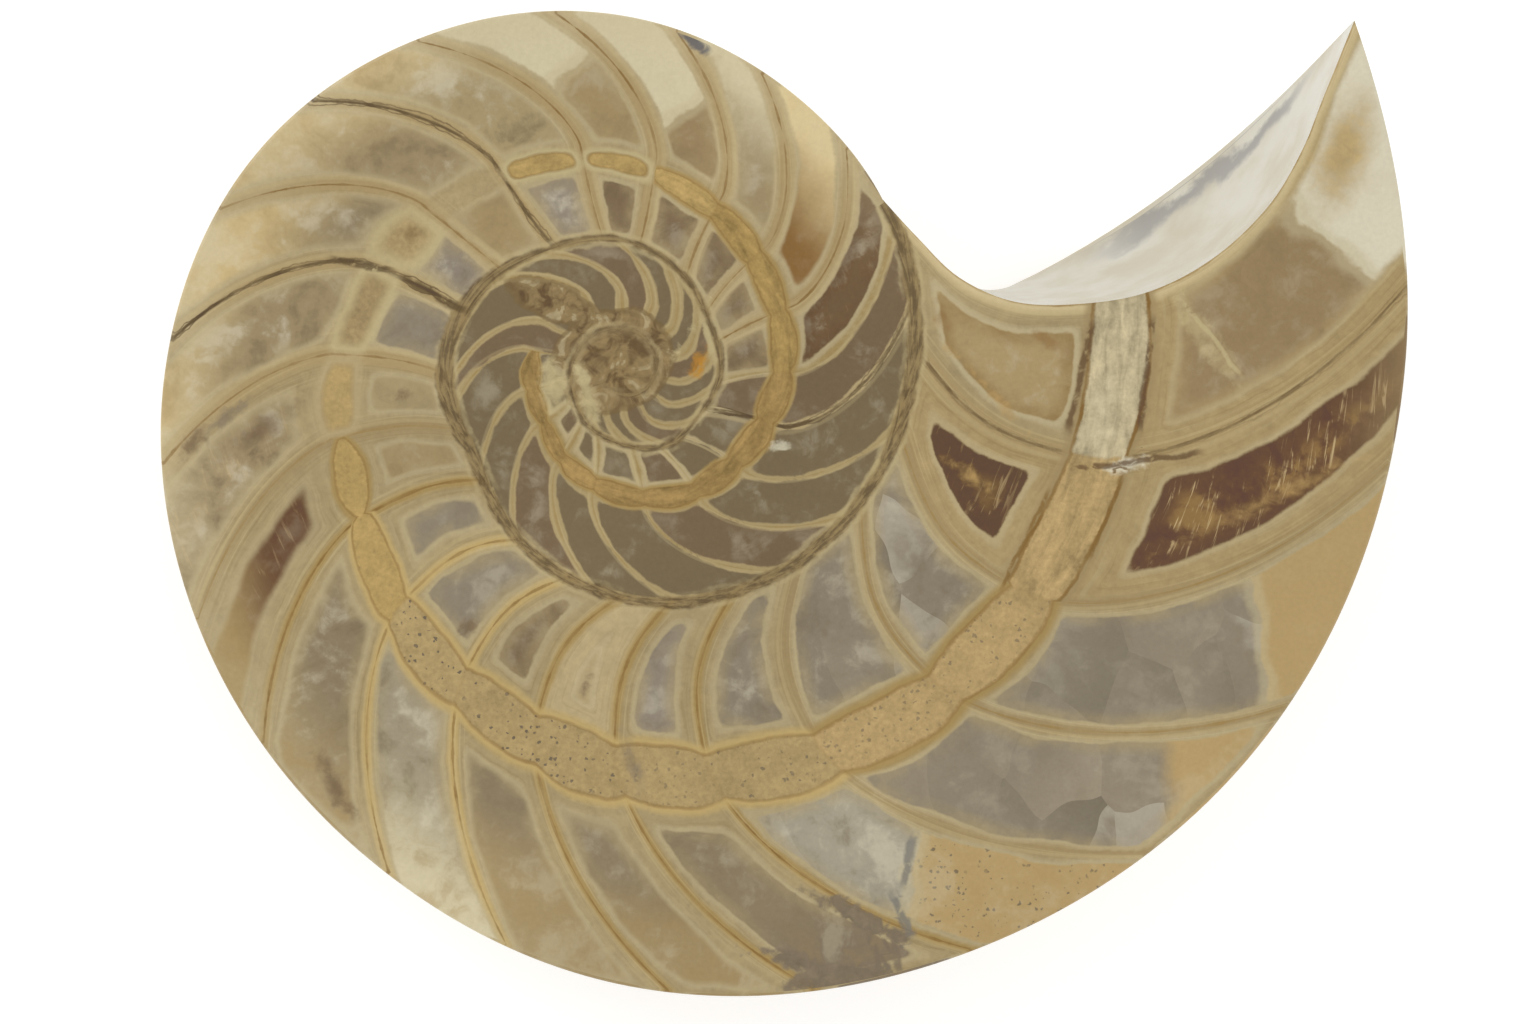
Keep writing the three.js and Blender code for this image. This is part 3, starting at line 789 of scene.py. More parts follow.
@dataclass
class Skin:
    """A mesh in the making: points in millimetres, triangles, and values at the triangles' corners."""

    points: list[Array] = field(default_factory=list)
    values: list[dict[str, Array]] = field(default_factory=list)
    triangles: list[Array] = field(default_factory=list)
    finishes: list[int] = field(default_factory=list)
    count: int = 0
    weld: float = 1e-4  # points closer than this are one

    def add_points(self, points: Array, values: dict[str, Array]) -> Array:
        """Adds a grid of points with their values.

        Args:
            points: an array whose last axis is x, y and z.
            values: arrays by attribute name, one row for each point.
        Returns:
            The points' indices, in the shape of the grid.
        """
        shape = points.shape[:-1]
        indices = np.arange(self.count, self.count + int(np.prod(shape))).reshape(shape)
        self.count += indices.size
        self.points.append(points.reshape(-1, 3))
        self.values.append(values)
        return indices

    def add_triangles(self, triangles: Array, finish: Finish) -> None:
        """Adds triangles of point indices, all with one finish."""
        self.triangles.append(triangles.reshape(-1, 3))
        self.finishes.append(finish.value)

    def add_fan(self, middle: int, rim: Array, finish: Finish) -> None:
        """Joins each step along a rim to one point."""
        self.add_triangles(np.stack([np.full(len(rim) - 1, middle), rim[:-1], rim[1:]], axis=1), finish)

    def add_grid(self, grid: Array, finish: Finish) -> None:
        """Fills a grid of indices with two triangles a cell."""
        a, b, c, d = grid[:-1, :-1], grid[:-1, 1:], grid[1:, 1:], grid[1:, :-1]
        self.add_triangles(np.stack([a, b, c, a, c, d], axis=-1), finish)

    def add_zip(self, left: Array, left_at: Array, right: Array, right_at: Array, finish: Finish) -> None:
        """Fills the strip between two lines with different numbers of points.

        The points of both lines are taken in the order of their position along the strip, and each one
        makes a triangle with the point before it on its own line and the latest one on the other line.

        Args:
            left: indices of one line.
            left_at: growing positions of its points.
            right: indices of the other line.
            right_at: growing positions of its points.
            finish: the finish.
        """
        order = np.argsort(np.concatenate([left_at[1:], right_at[1:]]), kind="stable")
        is_left = order < len(left) - 1
        i = np.cumsum(is_left) - is_left
        j = np.cumsum(~is_left) - ~is_left
        next_left = left[np.minimum(i + 1, len(left) - 1)]
        next_right = right[np.minimum(j + 1, len(right) - 1)]
        ahead = np.where(is_left, next_left, next_right)
        self.add_triangles(np.stack([left[i], ahead, right[j]], axis=1), finish)

    def to_mesh(self, name: str, place: Place) -> bpy.types.Mesh:
        """Welds points that coincide and makes the mesh, with each value as an attribute on its corners.

        Args:
            name: the mesh's name.
            place: where the half lies.
        Returns:
            The mesh, in metres. A value that some points lack is zero there.
        """
        points = np.concatenate(self.points)
        triangles = np.concatenate(self.triangles)
        finishes = np.repeat(self.finishes, [len(part) for part in self.triangles])
        keys = np.round(points / self.weld)
        _, first, welded = np.unique(keys, axis=0, return_index=True, return_inverse=True)
        joined = welded.reshape(-1)[triangles]
        whole = (joined != np.roll(joined, 1, axis=1)).all(axis=1)
        mesh = bpy.data.meshes.new(name)
        mesh.from_pydata(place.to_world(points[first]), [], joined[whole])
        mesh.polygons.foreach_set("material_index", finishes[whole].astype(np.int32))
        corners = triangles[whole].reshape(-1)
        shapes = {key: column.shape[1:] for values in self.values for key, column in values.items()}
        for key, shape in shapes.items():
            parts = [
                values.get(key, np.zeros((len(part), *shape)))
                for part, values in zip(self.points, self.values)
            ]
            kind, slot = ("FLOAT_VECTOR", "vector") if shape else ("FLOAT", "value")
            column = np.concatenate(parts)[corners].astype(np.float32)
            mesh.attributes.new(key, kind, "CORNER").data.foreach_set(slot, column.ravel())
        mesh.update()
        return mesh


@dataclass(frozen=True)
class Place:
    """Where the half lies: the coil axis on the cut face, in metres, and the way that face looks."""

    origin: Vector
    normal: Vector

    @classmethod
    def from_record(cls, record: dict[str, Any]) -> Place:
        """Reads the cut face's mount."""
        mount = next(m for m in record["mounts"] if m["name"] == "cut_face")
        return cls(Vector(mount["pos_m"]), Vector(mount["axis"]).normalized())

    @property
    def turn(self) -> Matrix:
        """The smallest rotation that lays the cut face as it rests."""
        return Vector((0, 0, 1)).rotation_difference(self.normal).to_matrix()

    def to_world(self, points: Array) -> Array:
        """Carries points from millimetres about the coil axis to metres in the shared frame."""
        return points @ np.array(self.turn).T * MM + np.array(self.origin)


@dataclass
class CutFace:
    """The polished saw cut: a spiral strip from the coil axis to the mouth, one turn after another."""

    pattern: Pattern
    columns: int = 540  # in each turn
    rows: tuple[int, ...] = (2, 4, 12, 40, 80)  # from the innermost turn to the last
    mouth_blend: float = 690.0  # from here the columns fan out to the last septum
    fillet: float = 0.3  # millimetres of rounding at the outer edge
    fillet_run: float = 6.0  # degrees over which it fades at the root and the tip
    eye: float = 0.04  # millimetres from the fan's middle to the coil axis

    @property
    def root_angle(self) -> float:
        """Growth angle where the last turn leaves the outer edge of the turn below."""
        return self.pattern.coil.mouth_angle - 360 + self.pattern.mouth.root_swing

    @property
    def tip_angle(self) -> float:
        """Growth angle of the last septum at the outer edge."""
        return self.pattern.coil.mouth_angle + self.pattern.mouth.rim_swing

    def fillet_at(self, angle: Array) -> Array:
        """Rounding at the outer edge, which fades to nothing at the root and at the tip."""
        fade = np.minimum(angle - self.root_angle, self.tip_angle - angle) / self.fillet_run
        return self.fillet * np.clip(fade, 0, 1)

    def build(self, skin: Skin) -> tuple[Array, Array, Array]:
        """Adds the strip. The height runs from the turn below to the outer edge along a radius.

        Args:
            skin: the mesh in the making.
        Returns:
            Indices along the outer edge, their growth angles, and points along the last septum.
        """
        coil = self.pattern.coil
        before, before_at = None, None
        for turn, rows in enumerate(self.rows):
            last = turn == len(self.rows) - 1
            start = self.root_angle - 360 * (len(self.rows) - 1 - turn)
            j = np.linspace(0, 1, rows + 1)
            # Half even and half closer together at both walls.
            rise = 0.5 * j + 0.5 * (1 - np.cos(np.pi * j)) / 2
            along = np.linspace(start, start + 360, self.columns + 1)
            angle, height = np.meshgrid(along, rise, indexing="ij")
            if last:
                end = self.pattern.septum_angles(rise)[:, -1]
                run = np.clip((angle - self.mouth_blend) / (start + 360 - self.mouth_blend), 0, 1)
                angle = np.where(run > 0, self.mouth_blend + run * (end - self.mouth_blend), angle)
            below, edge = coil.edge_radius(angle - 360), coil.edge_radius(angle)
            edge = edge - self.fillet_at(angle) if last else edge
            radius, way = below + height * (edge - below), np.radians(angle)
            points = np.stack([radius * np.cos(way), radius * np.sin(way), np.zeros_like(radius)], axis=-1)
            places = points[..., :2].reshape(-1, 2)
            values = self.pattern.fields(angle.ravel(), height.ravel(), radius.ravel(), places)
            grid = skin.add_points(points, values)
            if before is None:
                self.add_eye(skin, grid, start)
                skin.add_grid(grid, Finish.FOSSIL)
            else:
                skin.add_zip(before, before_at, grid[1], rise, Finish.FOSSIL)
                skin.add_grid(grid[1:], Finish.FOSSIL)
            before, before_at = grid[-1], rise
        return grid[:, -1], angle[:, -1], points[-1]

    def add_eye(self, skin: Skin, grid: Array, start: float) -> None:
        """Closes the strip's inner end with two fans about a point beside the coil axis.

        Args:
            skin: the mesh in the making.
            grid: indices of the innermost turn.
            start: its first growth angle.
        """
        turn = math.radians(start)
        middle = np.array([[self.eye * math.sin(turn), -self.eye * math.cos(turn), 0]])
        values = {key: value[:1] for key, value in skin.values[-1].items()}
        apex = skin.add_points(middle, values)[0]
        for rim in (grid[:, 0], grid[0][::-1]):
            skin.add_fan(apex, rim, Finish.FOSSIL)


@dataclass
class Flank:
    """The rounded outside of the half, from the cut face's edge over the crest to the umbilicus."""

    pattern: Pattern
    face: CutFace
    half_breadth: float = 0.4  # shares of the outer edge's radius
    crest_reach: float = 0.46
    edge_squareness: float = 2.3
    flatness: float = 2.1
    umbilicus_depth: float = 8.5  # millimetres
    umbilicus_tightness: float = 2.4
    columns: int = 300
    fillet_rows: int = 4
    arch_rows: int = 26
    umbilicus_rows: int = 16
    suture_wave: float = 5.0  # degrees that the sutures bow forward halfway down
    suture_lining: float = 1.3  # millimetres
    navel_radius: float = 3.5  # millimetres of dark matrix round the coil axis
    clear_of_marks: float = 1e3  # millimetres, where no mark or vein of the cut face reaches

    def depth(self, angle: Array, reach: Array) -> Array:
        """Depth below the cut face: a superellipse from the edge to the crest, then a squared cosine.

        Args:
            angle: growth angles.
            reach: 1 at the outer edge and 0 at the coil axis.
        Returns:
            Depths in millimetres.
        """
        crest = self.half_breadth * self.pattern.coil.edge_radius(angle)
        outward = np.clip((reach - self.crest_reach) / (1 - self.crest_reach), 0, 1)
        arch = np.clip(1 - outward**self.edge_squareness, 0, 1) ** (1 / self.flatness)
        inward = np.clip(1 - reach / self.crest_reach, 0, 1)
        drop = np.cos(np.pi / 2 * inward**self.umbilicus_tightness) ** 2
        bowl = self.umbilicus_depth + drop * (crest - self.umbilicus_depth)
        return np.where(reach >= self.crest_reach, crest * arch, bowl)

    def build(self, skin: Skin, outline: Array, outline_angle: Array) -> tuple[Array, Array, Array]:
        """Adds the flank below the cut face's edge, which a quarter circle rounds off.

        Args:
            skin: the mesh in the making.
            outline: indices along the cut face's edge.
            outline_angle: their growth angles.
        Returns:
            The grid's indices, its points, and the reach of each row.
        """
        arch = np.cos(np.pi / 2 * np.arange(1, self.arch_rows) / self.arch_rows) ** (2 / self.edge_squareness)
        reach = np.concatenate([
            np.ones(self.fillet_rows),
            self.crest_reach + (1 - self.crest_reach) * arch,
            self.crest_reach * np.linspace(1, 0, self.umbilicus_rows + 1),
        ])
        column, reach_grid = np.meshgrid(np.linspace(0, 1, self.columns + 1), reach, indexing="ij")
        coil, mouth = self.pattern.coil, self.pattern.mouth
        start = coil.mouth_angle - 360 + mouth.root_swing * reach_grid
        angle = start + column * (coil.mouth_angle + mouth.rim_swing * reach_grid - start)
        bend = np.pi / 2 * np.minimum(np.arange(1, len(reach) + 1) / self.fillet_rows, 1)
        fillet = self.face.fillet_at(angle[:, :1])
        radius = reach_grid * coil.edge_radius(angle) - fillet * (1 - np.sin(bend))
        depth = np.maximum(self.depth(angle, reach_grid), fillet * (1 - np.cos(bend)))
        turn = np.radians(angle)
        points = np.stack([radius * np.cos(turn), radius * np.sin(turn), -depth], axis=-1)
        grid = skin.add_points(points, self.fields(angle, reach_grid, radius))
        skin.add_zip(grid[:, 0], angle[:, 0], outline, outline_angle, Finish.FOSSIL)
        skin.add_grid(grid, Finish.FOSSIL)
        return grid, points, reach

    def fields(self, angle: Array, reach: Array, radius: Array) -> dict[str, Array]:
        """The chambers' fields carried over the flank, where the sutures swing back with the reach.

        Args:
            angle: growth angles.
            reach: 1 at the outer edge and 0 at the coil axis.
            radius: distances from the coil axis.
        Returns:
            Arrays by attribute name.
        """
        wave = self.suture_wave * np.sin(np.pi * reach) ** 2
        along = (angle + self.pattern.mouth.rim_swing * (1 - reach) + wave).ravel()
        places = np.full((angle.size, 2), self.clear_of_marks)
        values = self.pattern.fields(along, np.ones(angle.size), radius.ravel(), places)
        share = values["growth"] % 1
        return values | {
            "core": np.minimum(share, 1 - share) * values["pitch"] - self.suture_lining,
            "tube": np.full(angle.size, -FAR),
            "wall": self.navel_radius - radius.ravel(),
        }


@dataclass
class Hollow:
    """The hollow of the last septum at the mouth, from its cut edge forward and down to its rim."""

    cut_share: float = 0.62  # of its inner line, the cut edge; the flank's first column is the rest
    bend: float = 65.0  # degrees that it turns forward on its way down from the cut face
    rows: int = 28
    tip_run: float = 1e-3  # share of the rim that the rows of the fillet take up

    def build(
        self, skin: Skin, edge: Array, column: Array, rim: Array, rim_points: Array, reach: Array
    ) -> None:
        """Adds the hollow: each line drops square from the cut face and bends forward, part of an ellipse.

        Args:
            skin: the mesh in the making.
            edge: points along the last septum, from the turn below to the tip.
            column: points of the flank's first column.
            rim: indices of the flank's last column.
            rim_points: its points.
            reach: its reach.
        """
        cut = edge[::-1]
        run = np.concatenate([[0], np.cumsum(np.linalg.norm(np.diff(cut, axis=0), axis=1))])
        share = np.concatenate([
            self.cut_share * run / run[-1],
            self.cut_share + (1 - self.cut_share) * (1 - reach),
        ])
        inner = np.concatenate([cut, column])
        rim_at = np.linspace(0, self.tip_run, len(reach)) + (1 - reach) * (1 - self.tip_run)
        outer = np.stack([np.interp(share, rim_at, rim_points[:, k]) for k in range(3)], axis=1)
        across, share_grid = np.meshgrid(np.arange(self.rows) / self.rows, share, indexing="ij")
        bend = math.radians(self.bend)
        forward = (1 - np.cos(bend * across)) / (1 - math.cos(bend))
        down = np.sin(bend * across) / math.sin(bend)
        points = inner + (outer - inner) * np.stack([forward, forward, down], axis=-1)
        place = np.stack([share_grid, across, np.zeros_like(across)], axis=-1).reshape(-1, 3)
        grid = skin.add_points(points, {"hollow": place})
        skin.add_grid(grid[::-1], Finish.HOLLOW)
        # A tiny slope keeps points with the same share in their order.
        growing = share + np.linspace(0, 1e-9, len(share))
        skin.add_zip(rim, rim_at, grid[-1], growing, Finish.HOLLOW)


class Node(Enum):
    """What a node does: its type in Blender, without the prefix, and the settings that stay the same."""

    READ = ("Attribute", {})
    PLACE = ("TexCoord", {})
    PARTS = ("SeparateXYZ", {})
    TINT_PARTS = ("SeparateColor", {})
    VECTOR = ("CombineXYZ", {})
    ADD = ("Math", {"operation": "ADD"})
    SUBTRACT = ("Math", {"operation": "SUBTRACT"})
    MULTIPLY = ("Math", {"operation": "MULTIPLY"})
    DIVIDE = ("Math", {"operation": "DIVIDE"})
    MULTIPLY_ADD = ("Math", {"operation": "MULTIPLY_ADD"})
    MINIMUM = ("Math", {"operation": "MINIMUM"})
    LESS_THAN = ("Math", {"operation": "LESS_THAN"})
    ABSOLUTE = ("Math", {"operation": "ABSOLUTE"})
    FRACT = ("Math", {"operation": "FRACT"})
    MOVE = ("VectorMath", {"operation": "MULTIPLY_ADD"})  # a vector times a stretch, plus a shift
    SCALE = ("VectorMath", {"operation": "SCALE"})
    JOIN = ("VectorMath", {"operation": "ADD"})
    LESSEN = ("VectorMath", {"operation": "SUBTRACT"})
    AT_LEAST = ("VectorMath", {"operation": "MAXIMUM"})
    DOT = ("VectorMath", {"operation": "DOT_PRODUCT"})
    RAMP = ("MapRange", {"clamp": False})  # carries two values to two others, and on past both ends
    STEP = ("MapRange", {"interpolation_type": "SMOOTHSTEP"})  # rises from 0 to its most, or falls back
    MIX = ("MixRGB", {})  # lays the second colour over the first where the mask is 1
    NOISE = ("TexNoise", {"Scale": 1.0, "Roughness": 0.58})  # clouds about 0.5, mostly within the span
    CELLS = ("TexVoronoi", {"Scale": 1.0})
    RELIEF = ("Bump", {})
    SURFACE = ("BsdfPrincipled", {})
    OUTPUT = ("OutputMaterial", {})


SPAN = (0.3, 0.7)  # where most of a noise's values lie


@dataclass
class Graph:
    """A material's node tree, filled one node at a time."""

    name: str
    material: bpy.types.Material = field(init=False)
    tree: bpy.types.NodeTree = field(init=False)
    at: dict[str, Any] = field(init=False, default_factory=dict)  # output sockets by name

    def __post_init__(self) -> None:
        """Makes an empty material."""
        self.material = bpy.data.materials.new(self.name)
        self.material.use_nodes = True
        self.tree = self.material.node_tree
        self.tree.nodes.clear()

    def add(self, kind: Node, *inputs: Any, out: int | str = 0, **named: Any) -> Any:
        """Adds a node with its settings and links.

        Args:
            kind: what the node does.
            inputs: numbers, vectors, colours or output sockets, in the order of the node's inputs.
            out: the output that is wanted.
            named: further inputs by name, with _ for a space, and the node's own properties.
        Returns:
            The output socket, or the node itself where it has none.
        """
        blender_type, settings = kind.value
        node = self.tree.nodes.new("ShaderNode" + blender_type)
        values = dict(enumerate(inputs))
        for name, value in (settings | named).items():
            if name.replace("_", " ") in node.inputs:
                values[name.replace("_", " ")] = value
            else:
                setattr(node, name, value)
        for key, value in values.items():
            if isinstance(value, bpy.types.NodeSocket):
                self.tree.links.new(value, node.inputs[key])
            else:
                is_colour = isinstance(value, (Tint, str))
                node.inputs[key].default_value = (*linear(value), 1) if is_colour else value
        return node.outputs[out] if len(node.outputs) else node

    def lay(self, colour: Any, *layers: tuple[Any, ...]) -> Any:
        """Lays tints over a colour, each where a field passes from one value to another.

        Args:
            colour: the colour below.
            layers: for each tint the field's name, the values where the tint begins and where it is full,
                how strong it gets, the tint or its name, and the names of further masks.
        Returns:
            The colour on top.
        """
        for name, begins, full, most, tint, *masks in layers:
            mask = self.add(Node.STEP, self.at[name], begins, full, To_Max=most)
            for further in masks:
                mask = self.add(Node.MULTIPLY, mask, self.at[further])
            colour = self.add(Node.MIX, mask, colour, self.at.get(tint, tint))
        return colour


@dataclass
class FossilFinish(Graph):
    """Calcite-filled shell, sawn and polished to a satin gloss.

    The eye sees banded crusts round cloudy crystal cores, thin dark septa, a sandy siphuncle with dark
    grains, and fibrous brown walls between the turns. Sizes are in millimetres. Each step lays its colours
    over what is there, in masks made from the pattern's distances and from noise.
    """

    name: str = "polished_fossil_calcite"
    waver_size: float = 2.2  # unevenness of the lines
    sway_size: float = 8.0  # slower unevenness of the chambers' shapes
    grit_size: float = 0.4  # drawn coarser than real grit, which would not show
    tone_size: float = 20.0
    facet_size: float = 6.5
    facet_bend_size: float = 6.0
    cloud_size: float = 5.0
    speck_size: float = 0.5
    layer_size: float = 0.5  # layers of a crust
    stripe_size: float = 0.3  # stripes along a septum
    mottle_size: float = 1.4
    curl_size: float = 2.2  # swirls of the innermost turns
    grit_tone: float = 0.035  # share of the brightness
    slow_tone: float = 0.05  # share of the brightness
    grit_gloss: float = 0.04
    grit_height: float = 0.1
    grit_strength: float = 0.05
    roughness: float = 0.34
    ior: float = 1.55
    polish_share: float = 0.044  # light that the polish itself sends back
    least: float = 0.004  # the darkest that the stone gets

    def make(self) -> bpy.types.Material:
        """Makes the material, which reads the fields of the pattern from the mesh's attributes.

        Returns:
            The material.
        """
        self.read()
        at, add = self.at, self.add
        colour = at["crust"]
        for step in (
            self.crust, self.core, self.septa, self.siphuncle,
            self.inner_turns, self.wall, self.patches, self.lines,
        ):
            colour = step(colour)
        tone = add(Node.MULTIPLY_ADD, at["grit"], self.grit_tone, 1.0)
        tone = add(Node.MULTIPLY_ADD, at["tone"], self.slow_tone, tone)
        colour = add(Node.SCALE, colour, Scale=tone)
        # The tints are as the eye sees them, so the polish's own reflection is taken off them.
        colour = add(Node.LESSEN, colour, (self.polish_share,) * 3)
        colour = add(Node.AT_LEAST, colour, (self.least,) * 3)
        gloss = add(Node.MULTIPLY_ADD, at["grit"], self.grit_gloss, self.roughness)
        relief = add(
            Node.RELIEF, Height=at["grit"], Strength=self.grit_strength, Distance=self.grit_height * MM
        )
        surface = add(Node.SURFACE, Base_Color=colour, Roughness=gloss, IOR=self.ior, Normal=relief)
        add(Node.OUTPUT, surface)
        return self.material

    def read(self) -> None:
        """Reads the attributes, and makes the noises and uneven distances that several steps share."""
        at, add = self.at, self.add
        at |= {name: add(Node.READ, out="Fac", attribute_name=name) for name in NUMBERS}
        at |= {name: add(Node.READ, out="Vector", attribute_name=name) for name in (*COLOURS, "strip")}
        for name, parts in BUNDLES.items():
            bundle = add(Node.READ, out="Vector", attribute_name=name)
            at |= dict(zip(parts, add(Node.PARTS, bundle).node.outputs))
        at["mm"] = add(Node.MOVE, add(Node.PLACE, out="Object"), (1 / MM,) * 3)
        # These four run from about -1 to 1.
        for name, size, detail in (
            ("waver", self.waver_size, 3.0), ("sway", self.sway_size, 1.0),
            ("grit", self.grit_size, 2.0), ("tone", self.tone_size, 1.0),
        ):
            noise = add(Node.NOISE, at["mm"], Scale=1 / size, Detail=detail)
            at[name] = add(Node.RAMP, noise, 0.28, 0.72, -1.0, 1.0)
        for name, size, detail, bend in (
            ("cloud", self.cloud_size, 5.0, 0.5), ("mottle", self.mottle_size, 4.0, 0.6),
            ("curl", self.curl_size, 3.0, 0.8),
        ):
            at[name] = add(Node.NOISE, at["mm"], Scale=1 / size, Detail=detail, Distortion=bend)
        share = add(Node.FRACT, at["growth"])
        ahead = add(Node.MULTIPLY, share, at["pitch"])
        at["behind"] = behind = add(Node.MULTIPLY, add(Node.SUBTRACT, 1.0, share), at["pitch"])
        is_first_half = add(Node.LESS_THAN, ahead, behind)
        at["past"] = add(Node.SUBTRACT, add(Node.MULTIPLY, is_first_half, at["pitch"]), behind)
        at["septum"] = add(Node.MINIMUM, behind, ahead)
        at["broken"] = at["rubble"]
        for name, noise, most in (
            ("septum", "waver", 0.09), ("broken", "waver", 0.3), ("mark", "waver", 0.4),
            ("core", "sway", 0.3), ("core", "waver", 0.14), ("core", "grit", 0.03),
            ("tube", "sway", 0.12), ("tube", "waver", 0.12), ("tube", "grit", 0.03),
            ("split", "sway", 0.7), ("split", "waver", 0.25),
        ):
            at[name] = add(Node.MULTIPLY_ADD, at[noise], most, at[name])
        for name, distance, size in (
            ("near_band", "septum", "band_width"), ("near_line", "septum", "line_width"),
            ("neck", "septum", "ring"), ("back", "behind", "band_width"), ("rings", "tube", "ring"),
            ("tube_edge", "tube", "bead_blur"), ("core_edge", "core", "soft"),
            ("split", "split", "split_blur"),
        ):
            at[name] = add(Node.DIVIDE, at[distance], at[size])
        self.add_spots()

    def add_spots(self) -> None:
        """Makes the mask of the dark grains in the sand, of mixed sizes and in loose clusters."""
        at, add = self.at, self.add
        ragged = add(Node.NOISE, at["mm"], out="Color", Scale=1 / self.speck_size)
        where = add(Node.JOIN, at["mm"], add(Node.SCALE, ragged, Scale=0.55))
        dots = add(Node.CELLS, where, out="Distance", Scale=1 / self.speck_size)
        kind = add(Node.TINT_PARTS, dots.node.outputs["Color"], out=1)
        size = add(Node.RAMP, kind, 0.3, 1.0, 0.0, 0.48)
        spot = add(Node.STEP, add(Node.SUBTRACT, size, dots), 0.0, 0.16, To_Max=0.85)
        spot = add(Node.MULTIPLY, spot, add(Node.STEP, at["cloud"], 0.34, 0.5))
        at["grains"] = add(Node.MULTIPLY, spot, at["specks"])

    def crust(self, colour: Any) -> Any:
        """Crust on the chamber's walls in thin layers, ochre at the septum and paler next to the core.

        Args:
            colour: the crust's own colour.
        Returns:
            The colour.
        """
        at, add = self.at, self.add
        for name, distance, size, drift in (
            ("layer", "core", self.layer_size, 0.09), ("stripe", "past", self.stripe_size, 0.07),
        ):
            deep = add(Node.VECTOR, add(Node.DIVIDE, at[distance], size))
            at[name] = add(Node.NOISE, add(Node.MOVE, at["mm"], (drift,) * 3, deep))
        at["zone"] = add(Node.STEP, at["near_band"], 2.4, 0.9)
        return self.lay(
            add(Node.SCALE, colour, Scale=add(Node.RAMP, at["mottle"], *SPAN, 0.91, 1.09)),
            ("layer", 0.52, 0.72, 0.36, "#BAA981"),
            ("layer", 0.47, 0.28, 0.32, "#8B7851"),
            ("near_band", 1.05, 0.3, 0.85, "band"),
            ("stripe", 0.54, 0.66, 0.36, "#C5B285", "zone"),
            ("stripe", 0.45, 0.34, 0.2, "#8F764A", "zone"),
            ("core", -0.8, -0.2, 1.0, "#C2B48F", "pale"),
        )

    def core(self, colour: Any) -> Any:
        """Crystal core: facets, clouds, golden streaks, and another fill past the split.

        Args:
            colour: the colour so far.
        Returns:
            The colour.
        """
        at, add = self.at, self.add
        wisp = add(Node.MULTIPLY_ADD, at["waver"], 0.04, at["cloud"])
        at["wisp"] = add(Node.ADD, wisp, add(Node.RAMP, at["mottle"], *SPAN, -0.08, 0.08))
        lengthwise = add(Node.MOVE, at["strip"], (0.08, 2.0, 0.22))
        at["needle"] = add(Node.NOISE, lengthwise, Detail=3.0, Distortion=0.9)
        for name, of, begins, full in (
            ("middle", "core", 1.0, 2.6), ("golden", "wisp", 0.38, 0.54), ("cloudy", "cloud", 0.3, 0.62),
            ("crisp", "split_blur", 0.8, 0.4), ("split_near", "split", -3.0, -1.0),
        ):
            at[name] = add(Node.STEP, at[of], begins, full)
        at["hazy"] = add(Node.MULTIPLY, at["clouds"], add(Node.MULTIPLY_ADD, at["crisp"], -0.6, 1.0))
        past = self.lay(
            add(Node.MIX, add(Node.MULTIPLY, at["grains"], at["crisp"]), at["beyond"], "#6B6354"),
            ("wisp", 0.48, 0.68, 0.5, "#D9CFB2", "hazy"),
            ("wisp", 0.5, 0.32, 0.5, "#A88B59", "hazy"),
        )
        inside = self.lay(
            self.facets(),
            ("wisp", 0.48, 0.7, 0.62, "#CEC5AC", "clouds"),
            ("wisp", 0.48, 0.28, 0.55, "#75674E", "clouds"),
            ("wisp", 0.5, 0.3, 0.5, "#5A4233", "streaks"),
            ("wisp", 0.44, 0.6, 0.7, "#A08150", "streaks", "middle"),
            ("needle", 0.56, 0.68, 0.85, "#C9B084", "streaks", "golden"),
            ("core", 1.5, 0.0, 0.7, "edge", "cloudy"),
            ("split", -0.5, 0.5, 1.0, past),
            ("split", 3.0, 1.0, 0.5, "#C2B48F", "split_near", "crisp"),
        )
        colour = self.lay(colour, ("core_edge", -0.5, 0.5, 1.0, inside))
        glow = add(Node.MULTIPLY, at["glow"], add(Node.RAMP, at["cloud"], *SPAN, 0.55, 1.35))
        return add(Node.MIX, glow, colour, "#CFC09A")

    def facets(self) -> Any:
        """Large crystal shards, each of its own brightness, with a painted sheen that makes each brighter
        towards one side, and painted glints on a few.

        Returns:
            The core's colour.
        """
        at, add = self.at, self.add
        bend = add(Node.NOISE, at["mm"], out="Color", Scale=1 / self.facet_bend_size, Detail=1.0)
        stretch = tuple(share / self.facet_size for share in (1.0, 0.6, 1.0))
        where = add(Node.MOVE, at["mm"], stretch, add(Node.SCALE, bend, Scale=0.3))
        cell = add(Node.CELLS, where, out="Color")
        off = add(Node.LESSEN, where, cell.node.outputs["Position"])
        # The lean across each shard is a painted sheen; the random tone of each shard is the stone's own.
        slope = add(Node.DOT, off, add(Node.LESSEN, cell, (0.5,) * 3), out="Value")
        kind, at["flash"], _ = add(Node.TINT_PARTS, cell).node.outputs
        shade = add(Node.MULTIPLY_ADD, slope, 0.4, add(Node.RAMP, kind, 0.0, 1.0, -0.07, 0.07))
        at["bright_side"] = add(Node.STEP, add(Node.MULTIPLY_ADD, slope, 1.5, at["cloud"]), 0.35, 0.65)
        colour = add(Node.SCALE, at["fill"], Scale=add(Node.MULTIPLY_ADD, shade, at["facets"], 1.0))
        # A few shards get a pale painted glint on their painted sheen side.
        return self.lay(colour, ("flash", 0.76, 0.84, 0.4, "#C2BBAA", "bright_side", "facets"))

